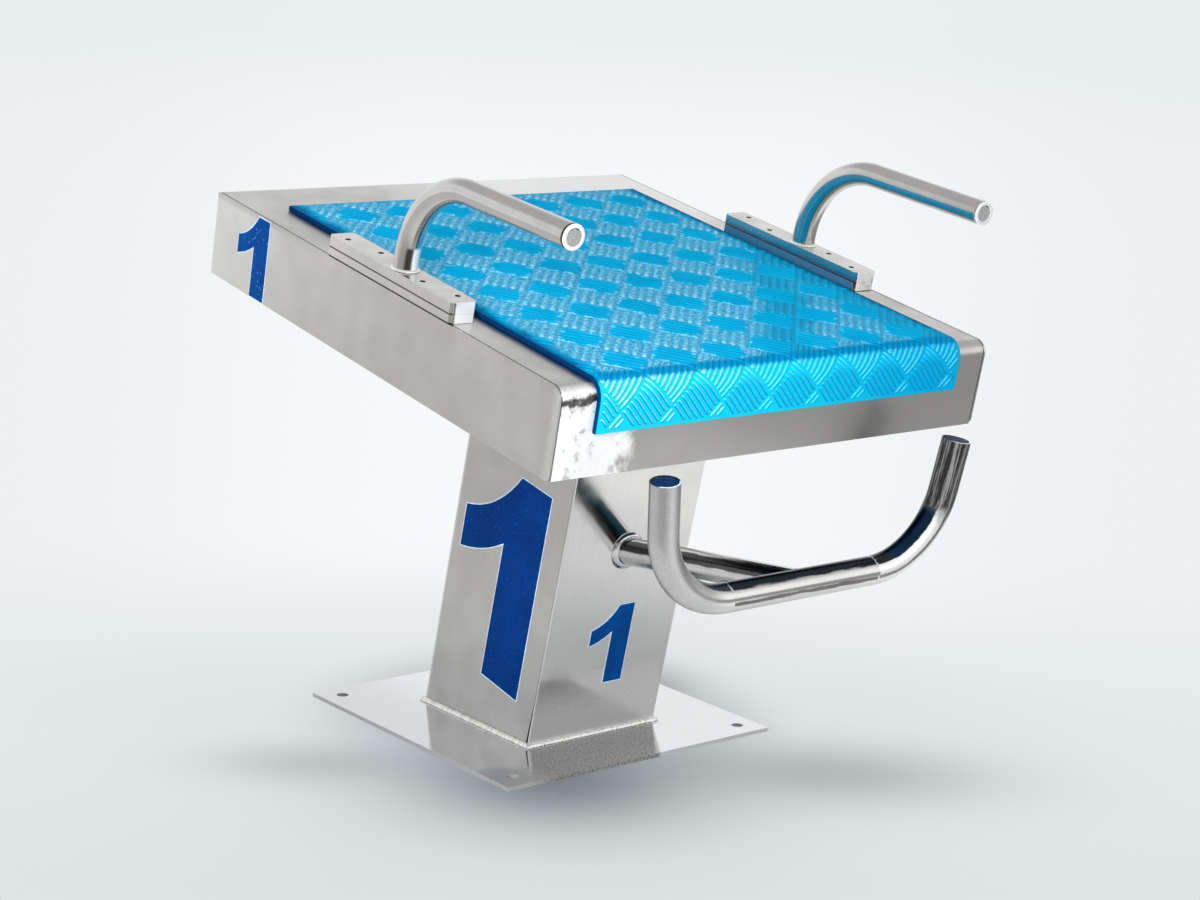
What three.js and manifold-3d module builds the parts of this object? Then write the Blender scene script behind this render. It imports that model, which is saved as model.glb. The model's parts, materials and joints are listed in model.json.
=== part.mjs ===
// A swimming starting block: a sloping platform with a moulded tread on a leaning box column,
// two hand grips on the platform's side rims and a U-shaped bar below its front for backstroke starts.
// Lengths are in millimetres. X runs across the lane, the pool lies towards -Y and Z points up.
// The origin is the middle of the base plate's underside.
import * as THREE from "three";
import { mergeVertices } from "three/addons/utils/BufferGeometryUtils.js";
import Module from "manifold-3d";

const wasm = await Module();
wasm.setup();

const degree = Math.PI / 180;
const half = 0.5;
const rightAngle = Math.PI * half;

// Clearances and cutting
const seatGap = 0.3; // left between pieces that are welded, screwed or glued face to face
const cutOverrun = 6; // how far a cutting solid runs past what it cuts
const mergeDistance = 1e-4; // corners nearer than this are one corner

// How finely round shapes are divided
const roundSegments = 18;
const bendSegments = 6;
const holeSegments = 12;
const gripSteps = 22;
const armSteps = 14;
const socketSides = 6;

// Base plate
const basePlateWidth = 385;
const basePlateDepth = 400;
const basePlateThickness = 5;
const anchorHoleDiameter = 14;
const anchorHoleInset = 26;
const footWeldLeg = 4.5;

// Column, a box of four sheets that leans towards the pool
const columnWidth = 186;
const columnDepth = 208;
const columnSheet = 3;
const columnLean = 12.65 * degree;
const openSeamWidth = 2.4; // the front corners are left unwelded just above the foot
const openSeamHeight = 60;

// Platform frame
const platformWidth = 600;
const platformLength = 665;
const platformSlope = 10.5 * degree;
const skirtHeight = 97;
const frameSheet = 3;
const frontEdgeReach = 391; // how far the lower front edge stands before the base plate's middle
const frontEdgeHeight = 398.5;
const frontBendRadius = 15;
const skirtCornerRadius = 5;

// What joins the platform to the column
const headPlateThickness = 5;
const headPlateMargin = 24;
const gussetThickness = 5;
const gussetHeight = 46;
const gussetTip = 6;
const channelWidth = 40;
const channelHeight = 25;
const channelSheet = 3;
const frontChannelShare = 0.5; // of the way from the front sheet to the head plate
const middleChannelShare = 0.4; // of the way from the head plate to the rear channel
const rearChannelInset = 15; // from the rear plate

// Tread
const treadSideRim = 46; // of the deck, left bare at each side
const treadRearRim = 79; // of the deck, left bare behind
const treadThickness = 7;
const apronBottomHeight = 47.5; // of the tread's front apron above the skirt's lower edge

// Hand grips, one on each side rim
const gripSideInset = 17.5; // from the platform's side to the middle of the grip's plates
const gripPlace = 305; // along the platform, from its front edge to the tube's foot
const gripPlateOffset = 7; // how much further back the plates' middle is
const rightGripShift = 8; // the right grip is screwed on this much nearer the front
const gripPlateLength = 238;
const gripPlateWidth = 32.5;
const gripPlateChamfer = 4;
const gripPadThickness = 10;
const gripPlateThickness = 12;
const gripTubeDiameter = 27;
const gripTubeWall = 2;
const gripRise = 107; // from the plate's top to where the two straight runs would meet
const gripRun = 266;
const gripRunTilt = 2.5 * degree;
const gripBendRadius = 102;
const gripCapThickness = 3;
const gripCapChamfer = 1.2;
const gripCapSpigot = 9;
const gripWeldLeg = 2.4;

// Countersunk screws in the grip plates
const screwPlaceShares = [-0.41, -0.2, 0.2, 0.41]; // of the plate's length, from its middle
const screwStagger = 5; // the first and third are this much inwards, the others outwards
const screwShankDiameter = 6;
const screwHeadDiameter = 11;
const screwHeadDepth = 3;
const screwLength = 18;
const screwSocketWidth = 4.5;
const screwSocketDepth = 2;
const screwClearance = 0.35;

// Backstroke bar and its support
const barTubeDiameter = 32;
const barTubeWall = 2;
const barReach = 439; // how far the bar's axis stands before the base plate's middle
const barHeight = 265;
const barHalfWidth = 188; // to where the bar's middle and its arm would meet
const barArmLength = 139;
const barArmFlare = 7.3 * degree;
const barTilt = 8 * degree;
const barBendRadius = 96;
const barPlugDepth = 12;
const barPlugRise = 1.5;
const supportFootHeight = 238; // where the support's axis meets the column's front
const supportWeldLeg = 8;

// Lane numbers, thin vinyl pieces
const numberThickness = 0.5;
const columnNumberHeight = 260;
const columnNumberFootHeight = 41; // along the column, above its front foot
const columnNumberEdgeInset = 34.5; // from the column's front corner
const frontNumberHeight = 103;
const frontNumberFootHeight = 67;
const frontNumberLeft = 31.5; // of the column's middle
const frameNumberHeight = 113;
const frameNumberTrim = 16; // cut off where the skirt ends
const frameNumberInset = 53; // from the platform's rear edge

// The numeral's outline, as shares of its height
const numeralShares = {
  right: 0.583,
  stemLeft: 0.302,
  topLeft: 0.357,
  upperBend: [0.217, 0.775],
  flagTop: 0.719,
  flagBottom: 0.504,
  lowerBend: [0.165, 0.54],
  innerCorner: 0.645,
};

// Looks
const satinSteel = { color: 0xbab8b3, roughness: 0.36, metalness: 0.95 };
const polishedSteel = { color: 0xcfcfce, roughness: 0.12, metalness: 1 };
const brightScrew = { color: 0x8f8d89, roughness: 0.3, metalness: 1 };
const treadBlue = { color: 0x089ad8, roughness: 0.42, metalness: 0 };
const numberBlue = { color: 0x0a3f8f, roughness: 0.5, metalness: 0 };
const plugBlue = { color: 0x0b2356, roughness: 0.35, metalness: 0 };

// Sizes worked out from the ones above
const basePlateTop = basePlateThickness;
const columnFootLevel = basePlateTop + seatGap;
const deckTop = skirtHeight;
const deckUnderside = deckTop - frameSheet;
const headPlateTop = deckUnderside - seatGap;
const headPlateUnderside = headPlateTop - headPlateThickness;
const insideWidth = platformWidth - (frameSheet + seatGap) / half;
const treadWidth = platformWidth - treadSideRim / half;
const treadLength = platformLength - treadRearRim;
const gripTubeRadius = gripTubeDiameter * half;
const barTubeRadius = barTubeDiameter * half;
const padBottom = deckTop + seatGap;
const plateBottom = padBottom + gripPadThickness + seatGap;
const plateTop = plateBottom + gripPlateThickness;

const axisX = new THREE.Vector3(1, 0, 0);
const axisY = new THREE.Vector3(0, 1, 0);
const axisZ = new THREE.Vector3(0, 0, 1);
const sides = [
  { word: "left", sign: -1, gripShift: 0 },
  { word: "right", sign: 1, gripShift: rightGripShift },
];

// Makes a named mesh with a material of its own.
function piece(name, geometry, look) {
  const mesh = new THREE.Mesh(geometry, new THREE.MeshStandardMaterial(look));
  mesh.name = name;
  return mesh;
}

// Turns a closed geometry into a solid for joining and cutting.
function solidFrom(geometry) {
  const bare = geometry.index ? geometry.toNonIndexed() : geometry.clone();
  bare.deleteAttribute("normal");
  bare.deleteAttribute("uv");
  const merged = mergeVertices(bare, mergeDistance);
  const vertProperties = merged.attributes.position.array;
  const triVerts = new Uint32Array(merged.index.array);
  return new wasm.Manifold(new wasm.Mesh({ numProp: 3, vertProperties, triVerts }));
}

// Turns a solid back into a geometry.
function geometryFrom(solid) {
  const mesh = solid.getMesh();
  const geometry = new THREE.BufferGeometry();
  geometry.setAttribute("position", new THREE.BufferAttribute(mesh.vertProperties, 3));
  geometry.setIndex(new THREE.BufferAttribute(mesh.triVerts, 1));
  geometry.computeVertexNormals();
  return geometry;
}

// Takes the cutting geometries away from the first one.
function cut(geometry, ...cutters) {
  const start = solidFrom(geometry);
  return geometryFrom(cutters.reduce((solid, cutter) => solid.subtract(solidFrom(cutter)), start));
}

// Joins overlapping geometries into one.
function join(first, ...others) {
  const start = solidFrom(first);
  return geometryFrom(others.reduce((solid, other) => solid.add(solidFrom(other)), start));
}

// Draws a closed straight-sided outline through the points.
function outline(points) {
  return new THREE.Shape(points.map(([a, b]) => new THREE.Vector2(a, b)));
}

// Raises an outline drawn in (x, y) from the given level.
function raised(shape, level, height, curveSegments = bendSegments) {
  const geometry = new THREE.ExtrudeGeometry(shape, {
    depth: height,
    bevelEnabled: false,
    curveSegments,
  });
  return geometry.translate(0, 0, level);
}

// Carries an outline drawn in (y, z) across the lane from the given x.
function acrossLane(shape, start, width, curveSegments = bendSegments) {
  const geometry = raised(shape, start, width, curveSegments);
  return geometry.applyMatrix4(new THREE.Matrix4().makeBasis(axisY, axisZ, axisX));
}

// The outline of a round bar or hole.
function circle(radius, x = 0, y = 0, ShapeClass = THREE.Shape) {
  const shape = new ShapeClass();
  shape.absarc(x, y, radius, 0, Math.PI * 2);
  return shape;
}

// A solid turned about Z from points (radius, height) listed from the bottom up.
function turned(points) {
  const profile = points.map(([radius, height]) => new THREE.Vector2(radius, height));
  const geometry = new THREE.LatheGeometry(profile, roundSegments);
  return geometry.applyMatrix4(new THREE.Matrix4().makeBasis(axisX, axisZ, axisY.clone().negate()));
}

// Stands a geometry made about Z on a point, with its Z axis along the direction.
function aimed(geometry, origin, direction) {
  const turn = new THREE.Quaternion().setFromUnitVectors(axisZ, direction.clone().normalize());
  geometry.applyQuaternion(turn);
  return geometry.translate(origin.x, origin.y, origin.z);
}

// A straight run, one round bend and a second straight run, measured along its length.
class BentPath extends THREE.Curve {
  constructor(start, corner, end, bendRadius) {
    super();
    this.start = start;
    this.end = end;
    this.bendRadius = bendRadius;
    this.inward = corner.clone().sub(start).normalize();
    this.outward = end.clone().sub(corner).normalize();
    const turn = this.inward.angleTo(this.outward);
    const tangentLength = bendRadius * Math.tan(turn * half);
    this.firstRun = corner.distanceTo(start) - tangentLength;
    this.bendLength = bendRadius * turn;
    this.lastRun = corner.distanceTo(end) - tangentLength;
    this.sideways = this.outward.clone().addScaledVector(this.inward, -Math.cos(turn)).normalize();
    this.centre = start.clone().addScaledVector(this.inward, this.firstRun);
    this.centre.addScaledVector(this.sideways, bendRadius);
  }

  getPoint(share, target = new THREE.Vector3()) {
    const length = this.firstRun + this.bendLength + this.lastRun;
    const place = share * length;
    if (place <= this.firstRun) {
      return target.copy(this.start).addScaledVector(this.inward, place);
    }
    if (place >= this.firstRun + this.bendLength) {
      return target.copy(this.end).addScaledVector(this.outward, place - length);
    }
    const angle = (place - this.firstRun) / this.bendRadius;
    target.copy(this.centre).addScaledVector(this.sideways, -this.bendRadius * Math.cos(angle));
    return target.addScaledVector(this.inward, this.bendRadius * Math.sin(angle));
  }
}

// A tube with the given wall along a path.
function tubeAlong(path, radius, wall, steps) {
  const ring = circle(radius);
  ring.holes.push(circle(radius - wall, 0, 0, THREE.Path));
  return new THREE.ExtrudeGeometry(ring, {
    steps,
    extrudePath: path,
    curveSegments: roundSegments * half,
  });
}

// A round weld bead about Z that fills the corner between a tube and a flat face.
function weldRing(tubeRadius, leg) {
  const inner = tubeRadius + seatGap;
  return turned([
    [inner, 0],
    [inner + leg, 0],
    [inner, leg],
    [inner, 0],
  ]);
}

// The y of the column's slanting front or rear face at a height, from its y at the foot.
function columnFaceY(footY, z) {
  return footY - Math.tan(columnLean) * (z - basePlateTop);
}

// A point of the platform's frame, from its distance along the slope and above the skirt's edge.
function platformPoint(along, above) {
  const y = along * Math.cos(platformSlope) - above * Math.sin(platformSlope) - frontEdgeReach;
  const z = along * Math.sin(platformSlope) + above * Math.cos(platformSlope) + frontEdgeHeight;
  return [y, z];
}

// Where a slanting column face meets a level of the platform, as distance along the platform.
function platformMeet(footY, above) {
  const [startY, startZ] = platformPoint(0, above);
  const fall = Math.tan(columnLean);
  const offset = columnFaceY(footY, startZ) - startY;
  return offset / (Math.cos(platformSlope) + fall * Math.sin(platformSlope));
}

// The upper end of a slanting column face, just below the head plate, as (y, z).
function columnTop(footY) {
  const level = headPlateUnderside - seatGap;
  return platformPoint(platformMeet(footY, level), level);
}

// The flat plate that is bolted to the pool deck.
function makeBasePlate() {
  const x = basePlateWidth * half;
  const y = basePlateDepth * half;
  const plate = outline([
    [-x, -y],
    [x, -y],
    [x, y],
    [-x, y],
  ]);
  for (const across of [-1, 1]) {
    for (const deep of [-1, 1]) {
      const holeX = across * (x - anchorHoleInset);
      const holeY = deep * (y - anchorHoleInset);
      plate.holes.push(circle(anchorHoleDiameter * half, holeX, holeY, THREE.Path));
    }
  }
  const geometry = raised(plate, 0, basePlateThickness, holeSegments);
  return piece("base_plate", geometry, polishedSteel);
}

// The weld bead all round the column's foot.
function makeFootWeld() {
  const side = columnWidth * half + seatGap;
  const frontFoot = -columnDepth * half;
  const rearFoot = columnDepth * half;
  const low = columnFootLevel;
  const high = low + footWeldLeg;
  const front = outline([
    [columnFaceY(frontFoot, low) - seatGap - footWeldLeg, low],
    [columnFaceY(frontFoot, low) - seatGap, low],
    [columnFaceY(frontFoot, high) - seatGap, high],
  ]);
  const rear = outline([
    [columnFaceY(rearFoot, low) + seatGap, low],
    [columnFaceY(rearFoot, low) + seatGap + footWeldLeg, low],
    [columnFaceY(rearFoot, high) + seatGap, high],
  ]);
  const bead = new THREE.Shape([
    new THREE.Vector2(side, low),
    new THREE.Vector2(side + footWeldLeg, low),
    new THREE.Vector2(side, high),
  ]);
  const outerX = side + footWeldLeg;
  const run = columnDepth + (seatGap + footWeldLeg) / half;
  const alongSide = raised(bead, -run * half, run);
  alongSide.applyMatrix4(new THREE.Matrix4().makeBasis(axisX, axisZ, axisY.clone().negate()));
  const otherSide = alongSide.clone().rotateZ(Math.PI);
  const across = [front, rear].map((shape) => acrossLane(shape, -outerX, outerX / half));
  return piece("foot_weld", join(alongSide, otherSide, ...across), polishedSteel);
}

// The column's front or rear sheet, which covers the side sheets' edges.
function makeColumnFace(name, footY, inward) {
  const [topY, topZ] = columnTop(footY);
  const footFaceY = columnFaceY(footY, columnFootLevel);
  const depth = (inward * columnSheet) / Math.cos(columnLean);
  const innerFootY = footY + depth;
  const [innerTopY, innerTopZ] = columnTop(innerFootY);
  const shape = outline([
    [footFaceY, columnFootLevel],
    [columnFaceY(innerFootY, columnFootLevel), columnFootLevel],
    [innerTopY, innerTopZ],
    [topY, topZ],
  ]);
  return piece(name, acrossLane(shape, -columnWidth * half, columnWidth), polishedSteel);
}

// A side sheet of the column, drawn back at its lower front corner where the seam stays open.
function makeColumnSide({ word, sign }) {
  const inset = (columnSheet + seatGap) / Math.cos(columnLean);
  const frontY = -columnDepth * half + inset;
  const rearY = columnDepth * half - inset;
  const seamTop = basePlateTop + openSeamHeight;
  const shape = outline([
    [columnFaceY(frontY + openSeamWidth, columnFootLevel), columnFootLevel],
    [columnFaceY(rearY, columnFootLevel), columnFootLevel],
    columnTop(rearY),
    columnTop(frontY),
    [columnFaceY(frontY, seamTop), seamTop],
  ]);
  const start = sign > 0 ? columnWidth * half - columnSheet : -columnWidth * half;
  return piece(`column_${word}_sheet`, acrossLane(shape, start, columnSheet), satinSteel);
}

// How far along the platform the head plate begins and ends.
function headPlateSpan() {
  const front = platformMeet(-columnDepth * half, headPlateUnderside) - headPlateMargin;
  const rear = platformMeet(columnDepth * half, headPlateUnderside) + headPlateMargin;
  return { front, rear };
}

// The plate that spreads the column's head under the deck.
function makeHeadPlate() {
  const x = columnWidth * half + headPlateMargin;
  const { front, rear } = headPlateSpan();
  const shape = outline([
    [-x, front],
    [x, front],
    [x, rear],
    [-x, rear],
  ]);
  return piece("head_plate", raised(shape, headPlateUnderside, headPlateThickness), satinSteel);
}

// A triangular gusset between the column's side and the head plate.
function makeHeadGusset({ word, sign }) {
  const { front, rear } = headPlateSpan();
  const top = headPlateUnderside - seatGap;
  const inner = columnWidth * half + seatGap;
  const outer = columnWidth * half + headPlateMargin;
  const shape = outline([
    [inner, top - gussetHeight],
    [inner + gussetTip, top - gussetHeight],
    [outer, top - gussetTip],
    [outer, top],
    [inner, top],
  ]);
  const geometry = raised(shape, -gussetThickness * half, gussetThickness);
  geometry.applyMatrix4(new THREE.Matrix4().makeBasis(axisX, axisZ, axisY.clone().negate()));
  if (sign < 0) {
    geometry.rotateZ(Math.PI);
  }
  geometry.translate(0, (front + rear) * half, 0);
  return piece(`head_gusset_${word}`, geometry, satinSteel);
}

// The deck sheet, folded down over the front edge.
function makeDeckSheet() {
  const inner = frontBendRadius - frameSheet;
  const bendTop = deckTop - frontBendRadius;
  const shape = new THREE.Shape();
  shape.moveTo(frameSheet, 0);
  shape.lineTo(frameSheet, bendTop);
  shape.absarc(frontBendRadius, bendTop, inner, Math.PI, rightAngle, true);
  shape.lineTo(platformLength, deckUnderside);
  shape.lineTo(platformLength, deckTop);
  shape.lineTo(frontBendRadius, deckTop);
  shape.absarc(frontBendRadius, bendTop, frontBendRadius, rightAngle, Math.PI, false);
  shape.lineTo(0, 0);
  return piece("deck_sheet", acrossLane(shape, -insideWidth * half, insideWidth), satinSteel);
}

// A side plate of the skirt, rounded where the deck sheet bends.
function makeSidePlate({ word, sign }) {
  const shape = new THREE.Shape();
  shape.moveTo(skirtCornerRadius, 0);
  shape.lineTo(platformLength, 0);
  shape.lineTo(platformLength, deckTop);
  shape.lineTo(frontBendRadius, deckTop);
  const bendTop = deckTop - frontBendRadius;
  shape.absarc(frontBendRadius, bendTop, frontBendRadius, rightAngle, Math.PI, false);
  shape.lineTo(0, skirtCornerRadius);
  const corner = skirtCornerRadius;
  shape.absarc(corner, corner, corner, Math.PI, Math.PI + rightAngle, false);
  const start = sign > 0 ? platformWidth * half - frameSheet : -platformWidth * half;
  return piece(`side_plate_${word}`, acrossLane(shape, start, frameSheet), satinSteel);
}

// The plate that closes the skirt at the rear.
function makeRearPlate() {
  const outer = platformLength;
  const inner = outer - frameSheet;
  const top = deckUnderside - seatGap;
  const shape = outline([
    [inner, 0],
    [outer, 0],
    [outer, top],
    [inner, top],
  ]);
  return piece("rear_plate", acrossLane(shape, -insideWidth * half, insideWidth), satinSteel);
}

// A channel under the deck, from side plate to side plate.
function makeCrossChannel(name, place) {
  const top = deckUnderside - seatGap;
  const low = top - channelHeight;
  const out = channelWidth * half;
  const inn = out - channelSheet;
  const web = top - channelSheet;
  const shape = outline([
    [place - out, low],
    [place - inn, low],
    [place - inn, web],
    [place + inn, web],
    [place + inn, low],
    [place + out, low],
    [place + out, top],
    [place - out, top],
  ]);
  return piece(name, acrossLane(shape, -insideWidth * half, insideWidth), satinSteel);
}

// The three channels that stiffen the deck before and behind the head plate.
function makeCrossChannels() {
  const { front, rear } = headPlateSpan();
  const frontPlace = frameSheet + (front - frameSheet) * frontChannelShare;
  const rearPlace = platformLength - frameSheet - rearChannelInset - channelWidth * half;
  const middlePlace = rear + (rearPlace - rear) * middleChannelShare;
  return [
    makeCrossChannel("cross_channel_front", frontPlace),
    makeCrossChannel("cross_channel_middle", middlePlace),
    makeCrossChannel("cross_channel_rear", rearPlace),
  ];
}

// The moulded tread, folded over the deck's front bend into an apron.
function makeTread() {
  const inner = frontBendRadius + seatGap;
  const outer = inner + treadThickness;
  const centreY = frontBendRadius;
  const centreZ = deckTop - frontBendRadius;
  const shape = new THREE.Shape();
  shape.moveTo(centreY - inner, apronBottomHeight);
  shape.lineTo(centreY - inner, centreZ);
  shape.absarc(centreY, centreZ, inner, Math.PI, rightAngle, true);
  shape.lineTo(treadLength, centreZ + inner);
  shape.lineTo(treadLength, centreZ + outer);
  shape.lineTo(centreY, centreZ + outer);
  shape.absarc(centreY, centreZ, outer, rightAngle, Math.PI, false);
  shape.lineTo(centreY - outer, apronBottomHeight);
  return piece("tread", acrossLane(shape, -treadWidth * half, treadWidth), treadBlue);
}

// The outline of a grip's plates about their middle, with its corners cut off.
function gripPlateOutline() {
  const w = gripPlateWidth * half;
  const l = gripPlateLength * half;
  const c = gripPlateChamfer;
  return outline([
    [c - w, -l],
    [w - c, -l],
    [w, c - l],
    [w, l - c],
    [w - c, l],
    [c - w, l],
    [-w, l - c],
    [-w, c - l],
  ]);
}

// A countersunk screw's body about Z with its head's top at zero, grown by a clearance.
function screwBody(clearance) {
  const shank = screwShankDiameter * half + clearance;
  const head = screwHeadDiameter * half + clearance;
  const foot = -screwLength - clearance;
  return turned([
    [0, foot],
    [shank, foot],
    [shank, -screwHeadDepth - clearance],
    [head, -clearance],
    [head, 0],
    [0, 0],
  ]);
}

// Where a grip's screws stand from the middle of its plates, in two staggered rows.
function screwPlaces(sign) {
  return screwPlaceShares.map((share, index) => {
    const stagger = index % 2 === 0 ? -screwStagger : screwStagger;
    return { x: sign * stagger, y: share * gripPlateLength };
  });
}

// One screw with its hexagon socket, its head's top at zero.
function makeScrew(name) {
  const socket = new THREE.CylinderGeometry(
    screwSocketWidth * half,
    screwSocketWidth * half,
    screwSocketDepth + cutOverrun,
    socketSides,
  );
  socket.rotateX(rightAngle).translate(0, 0, (cutOverrun - screwSocketDepth) * half);
  return piece(name, cut(screwBody(0), socket), brightScrew);
}

// A plate of a grip from one level up, with its four screw holes.
function makeGripPlate(name, bottom, thickness, sign) {
  const holes = screwPlaces(sign).map((place) => {
    const hole = screwBody(screwClearance).translate(0, 0, screwClearance);
    const mouth = raised(circle(screwHeadDiameter * half + screwClearance), 0, cutOverrun);
    return join(hole, mouth).translate(place.x, place.y, plateTop);
  });
  return piece(name, cut(raised(gripPlateOutline(), bottom, thickness), ...holes), satinSteel);
}

// The path of a grip's tube from its foot, up from the plate and forward.
function gripPath() {
  const start = new THREE.Vector3(0, 0, plateTop + seatGap);
  const corner = new THREE.Vector3(0, 0, plateTop + gripRise);
  const end = corner.clone();
  end.y -= gripRun * Math.cos(gripRunTilt);
  end.z += gripRun * Math.sin(gripRunTilt);
  return new BentPath(start, corner, end, gripBendRadius);
}

// The cap that closes a grip tube's end, with a spigot inside the tube.
function makeGripCap(name, path) {
  const spigot = gripTubeRadius - gripTubeWall - seatGap;
  const edge = gripTubeRadius - gripCapChamfer;
  const geometry = turned([
    [0, -gripCapSpigot],
    [spigot, -gripCapSpigot],
    [spigot, seatGap],
    [gripTubeRadius, seatGap],
    [gripTubeRadius, gripCapThickness - gripCapChamfer],
    [edge, gripCapThickness],
    [0, gripCapThickness],
  ]);
  return piece(name, aimed(geometry, path.end, path.outward), polishedSteel);
}

// The pad, the screwed plate and the four screws of one grip.
function makeGripFoot({ word, sign, gripShift }) {
  const foot = new THREE.Group();
  foot.position.set(sign * (platformWidth * half - gripSideInset), gripPlace - gripShift, 0);
  foot.position.y += gripPlateOffset;
  foot.add(makeGripPlate(`grip_pad_${word}`, padBottom, gripPadThickness, sign));
  foot.add(makeGripPlate(`grip_plate_${word}`, plateBottom, gripPlateThickness, sign));
  screwPlaces(sign).forEach((place, index) => {
    const screw = makeScrew(`grip_screw_${word}_${index + 1}`);
    screw.position.set(place.x, place.y, plateTop);
    foot.add(screw);
  });
  return foot;
}

// The bent tube of one grip with the weld at its foot and the cap in its end.
function makeGripTube({ word, sign, gripShift }) {
  const grip = new THREE.Group();
  grip.position.set(sign * (platformWidth * half - gripSideInset), gripPlace - gripShift, 0);
  const path = gripPath();
  const tube = tubeAlong(path, gripTubeRadius, gripTubeWall, gripSteps);
  const weld = weldRing(gripTubeRadius, gripWeldLeg).translate(0, 0, plateTop + seatGap);
  grip.add(piece(`grip_tube_${word}`, tube, polishedSteel));
  grip.add(piece(`grip_weld_${word}`, weld, polishedSteel));
  grip.add(makeGripCap(`grip_cap_${word}`, path));
  return grip;
}

// The path of one upturned arm of the backstroke bar, about the bar's middle.
function armPath(sign) {
  const turn = rightAngle - barArmFlare;
  const bendStart = barHalfWidth - barBendRadius * Math.tan(turn * half) + seatGap;
  const tipX = barHalfWidth + barArmLength * Math.tan(barArmFlare);
  const start = new THREE.Vector3(sign * bendStart, 0, 0);
  const corner = new THREE.Vector3(sign * barHalfWidth, 0, 0);
  const tip = new THREE.Vector3(sign * tipX, 0, barArmLength);
  return new BentPath(start, corner, tip, barBendRadius);
}

// The plug in the upper end of an arm.
function makeBarPlug(name, path) {
  const radius = barTubeRadius - barTubeWall - seatGap;
  const geometry = turned([
    [0, -barPlugDepth],
    [radius, -barPlugDepth],
    [radius, 0],
    [radius - barPlugRise, barPlugRise],
    [0, barPlugRise],
  ]);
  return piece(name, aimed(geometry, path.end, path.outward), plugBlue);
}

// The U-shaped bar: a straight middle, two bent arms and their plugs.
function makeBackstrokeBar() {
  const bar = new THREE.Group();
  bar.position.set(0, -barReach, barHeight);
  bar.rotation.x = barTilt;
  const middleEnd = armPath(1).start.x - seatGap;
  const line = new THREE.LineCurve3(
    new THREE.Vector3(-middleEnd, 0, 0),
    new THREE.Vector3(middleEnd, 0, 0),
  );
  bar.add(piece("bar_middle", tubeAlong(line, barTubeRadius, barTubeWall, 1), polishedSteel));
  for (const { word, sign } of sides) {
    const path = armPath(sign);
    const arm = tubeAlong(path, barTubeRadius, barTubeWall, armSteps);
    bar.add(piece(`bar_arm_${word}`, arm, polishedSteel));
    bar.add(makeBarPlug(`bar_plug_${word}`, path));
  }
  return bar;
}

// Everything behind the column's front face and its clearance, to cut the support against.
function behindColumnFront() {
  const low = 0;
  const high = frontEdgeHeight;
  const footY = -columnDepth * half;
  const gap = seatGap / Math.cos(columnLean);
  const shape = outline([
    [columnFaceY(footY, low) - gap, low],
    [columnDepth, low],
    [columnDepth, high],
    [columnFaceY(footY, high) - gap, high],
  ]);
  return acrossLane(shape, -columnWidth * half, columnWidth);
}

// The tube that carries the bar, coped round it, and its weld on the column.
function makeBarSupport() {
  const footY = columnFaceY(-columnDepth * half, supportFootHeight);
  const foot = new THREE.Vector3(0, footY, supportFootHeight);
  const tip = new THREE.Vector3(0, -barReach, barHeight);
  const along = tip.clone().sub(foot).normalize();
  const start = foot.clone().addScaledVector(along, -barTubeDiameter);
  const line = new THREE.LineCurve3(start, tip);
  const tube = tubeAlong(line, barTubeRadius, barTubeWall, 1);
  const bar = circle(barTubeRadius + seatGap);
  const barRoom = acrossLane(bar, -barHalfWidth, barHalfWidth / half, roundSegments);
  barRoom.translate(0, -barReach, barHeight);
  const ringLength = barTubeDiameter;
  const inner = barTubeRadius + seatGap;
  const ring = turned([
    [inner, -ringLength],
    [inner + supportWeldLeg, -ringLength],
    [inner + supportWeldLeg, 0],
    [inner, supportWeldLeg],
    [inner, -ringLength],
  ]);
  const wall = behindColumnFront();
  return [
    piece("bar_support", cut(tube, wall, barRoom), polishedSteel),
    piece("bar_support_weld", cut(aimed(ring, foot, along), wall), polishedSteel),
  ];
}

// The outline of the numeral, with its foot trimmed by the given height.
function numeral(height, trim = 0) {
  const to = numeralShares;
  const shape = new THREE.Shape();
  shape.moveTo(to.stemLeft * height, trim);
  shape.lineTo(to.right * height, trim);
  shape.lineTo(to.right * height, height);
  shape.lineTo(to.topLeft * height, height);
  shape.quadraticCurveTo(
    to.upperBend[0] * height,
    to.upperBend[1] * height,
    0,
    to.flagTop * height,
  );
  shape.lineTo(0, to.flagBottom * height);
  shape.quadraticCurveTo(
    to.lowerBend[0] * height,
    to.lowerBend[1] * height,
    to.stemLeft * height,
    to.innerCorner * height,
  );
  return shape;
}

// Lays a numeral on a face: rightwards and up are the face's own directions.
function laidNumeral(name, shape, origin, rightwards, upwards) {
  const outwards = rightwards.clone().cross(upwards);
  const geometry = raised(shape, seatGap, numberThickness);
  geometry.applyMatrix4(new THREE.Matrix4().makeBasis(rightwards, upwards, outwards));
  geometry.translate(origin.x, origin.y, origin.z);
  return piece(name, geometry, numberBlue);
}

// The numerals on the column's left side and on its front.
function makeColumnNumbers() {
  const upwards = new THREE.Vector3(0, -Math.sin(columnLean), Math.cos(columnLean));
  const forwards = new THREE.Vector3(0, -Math.cos(columnLean), -Math.sin(columnLean));
  const frontFoot = new THREE.Vector3(0, -columnDepth * half, basePlateTop);
  const sideOrigin = new THREE.Vector3(-columnWidth * half, frontFoot.y, frontFoot.z);
  const wide = numeralShares.right * columnNumberHeight;
  sideOrigin.addScaledVector(upwards, columnNumberFootHeight);
  sideOrigin.addScaledVector(forwards, -wide - columnNumberEdgeInset);
  const frontOrigin = frontFoot.clone().addScaledVector(upwards, frontNumberFootHeight);
  frontOrigin.x = -frontNumberLeft;
  const sideShape = numeral(columnNumberHeight);
  const frontShape = numeral(frontNumberHeight);
  return [
    laidNumeral("number_column_side", sideShape, sideOrigin, forwards, upwards),
    laidNumeral("number_column_front", frontShape, frontOrigin, axisX, upwards),
  ];
}

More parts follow.
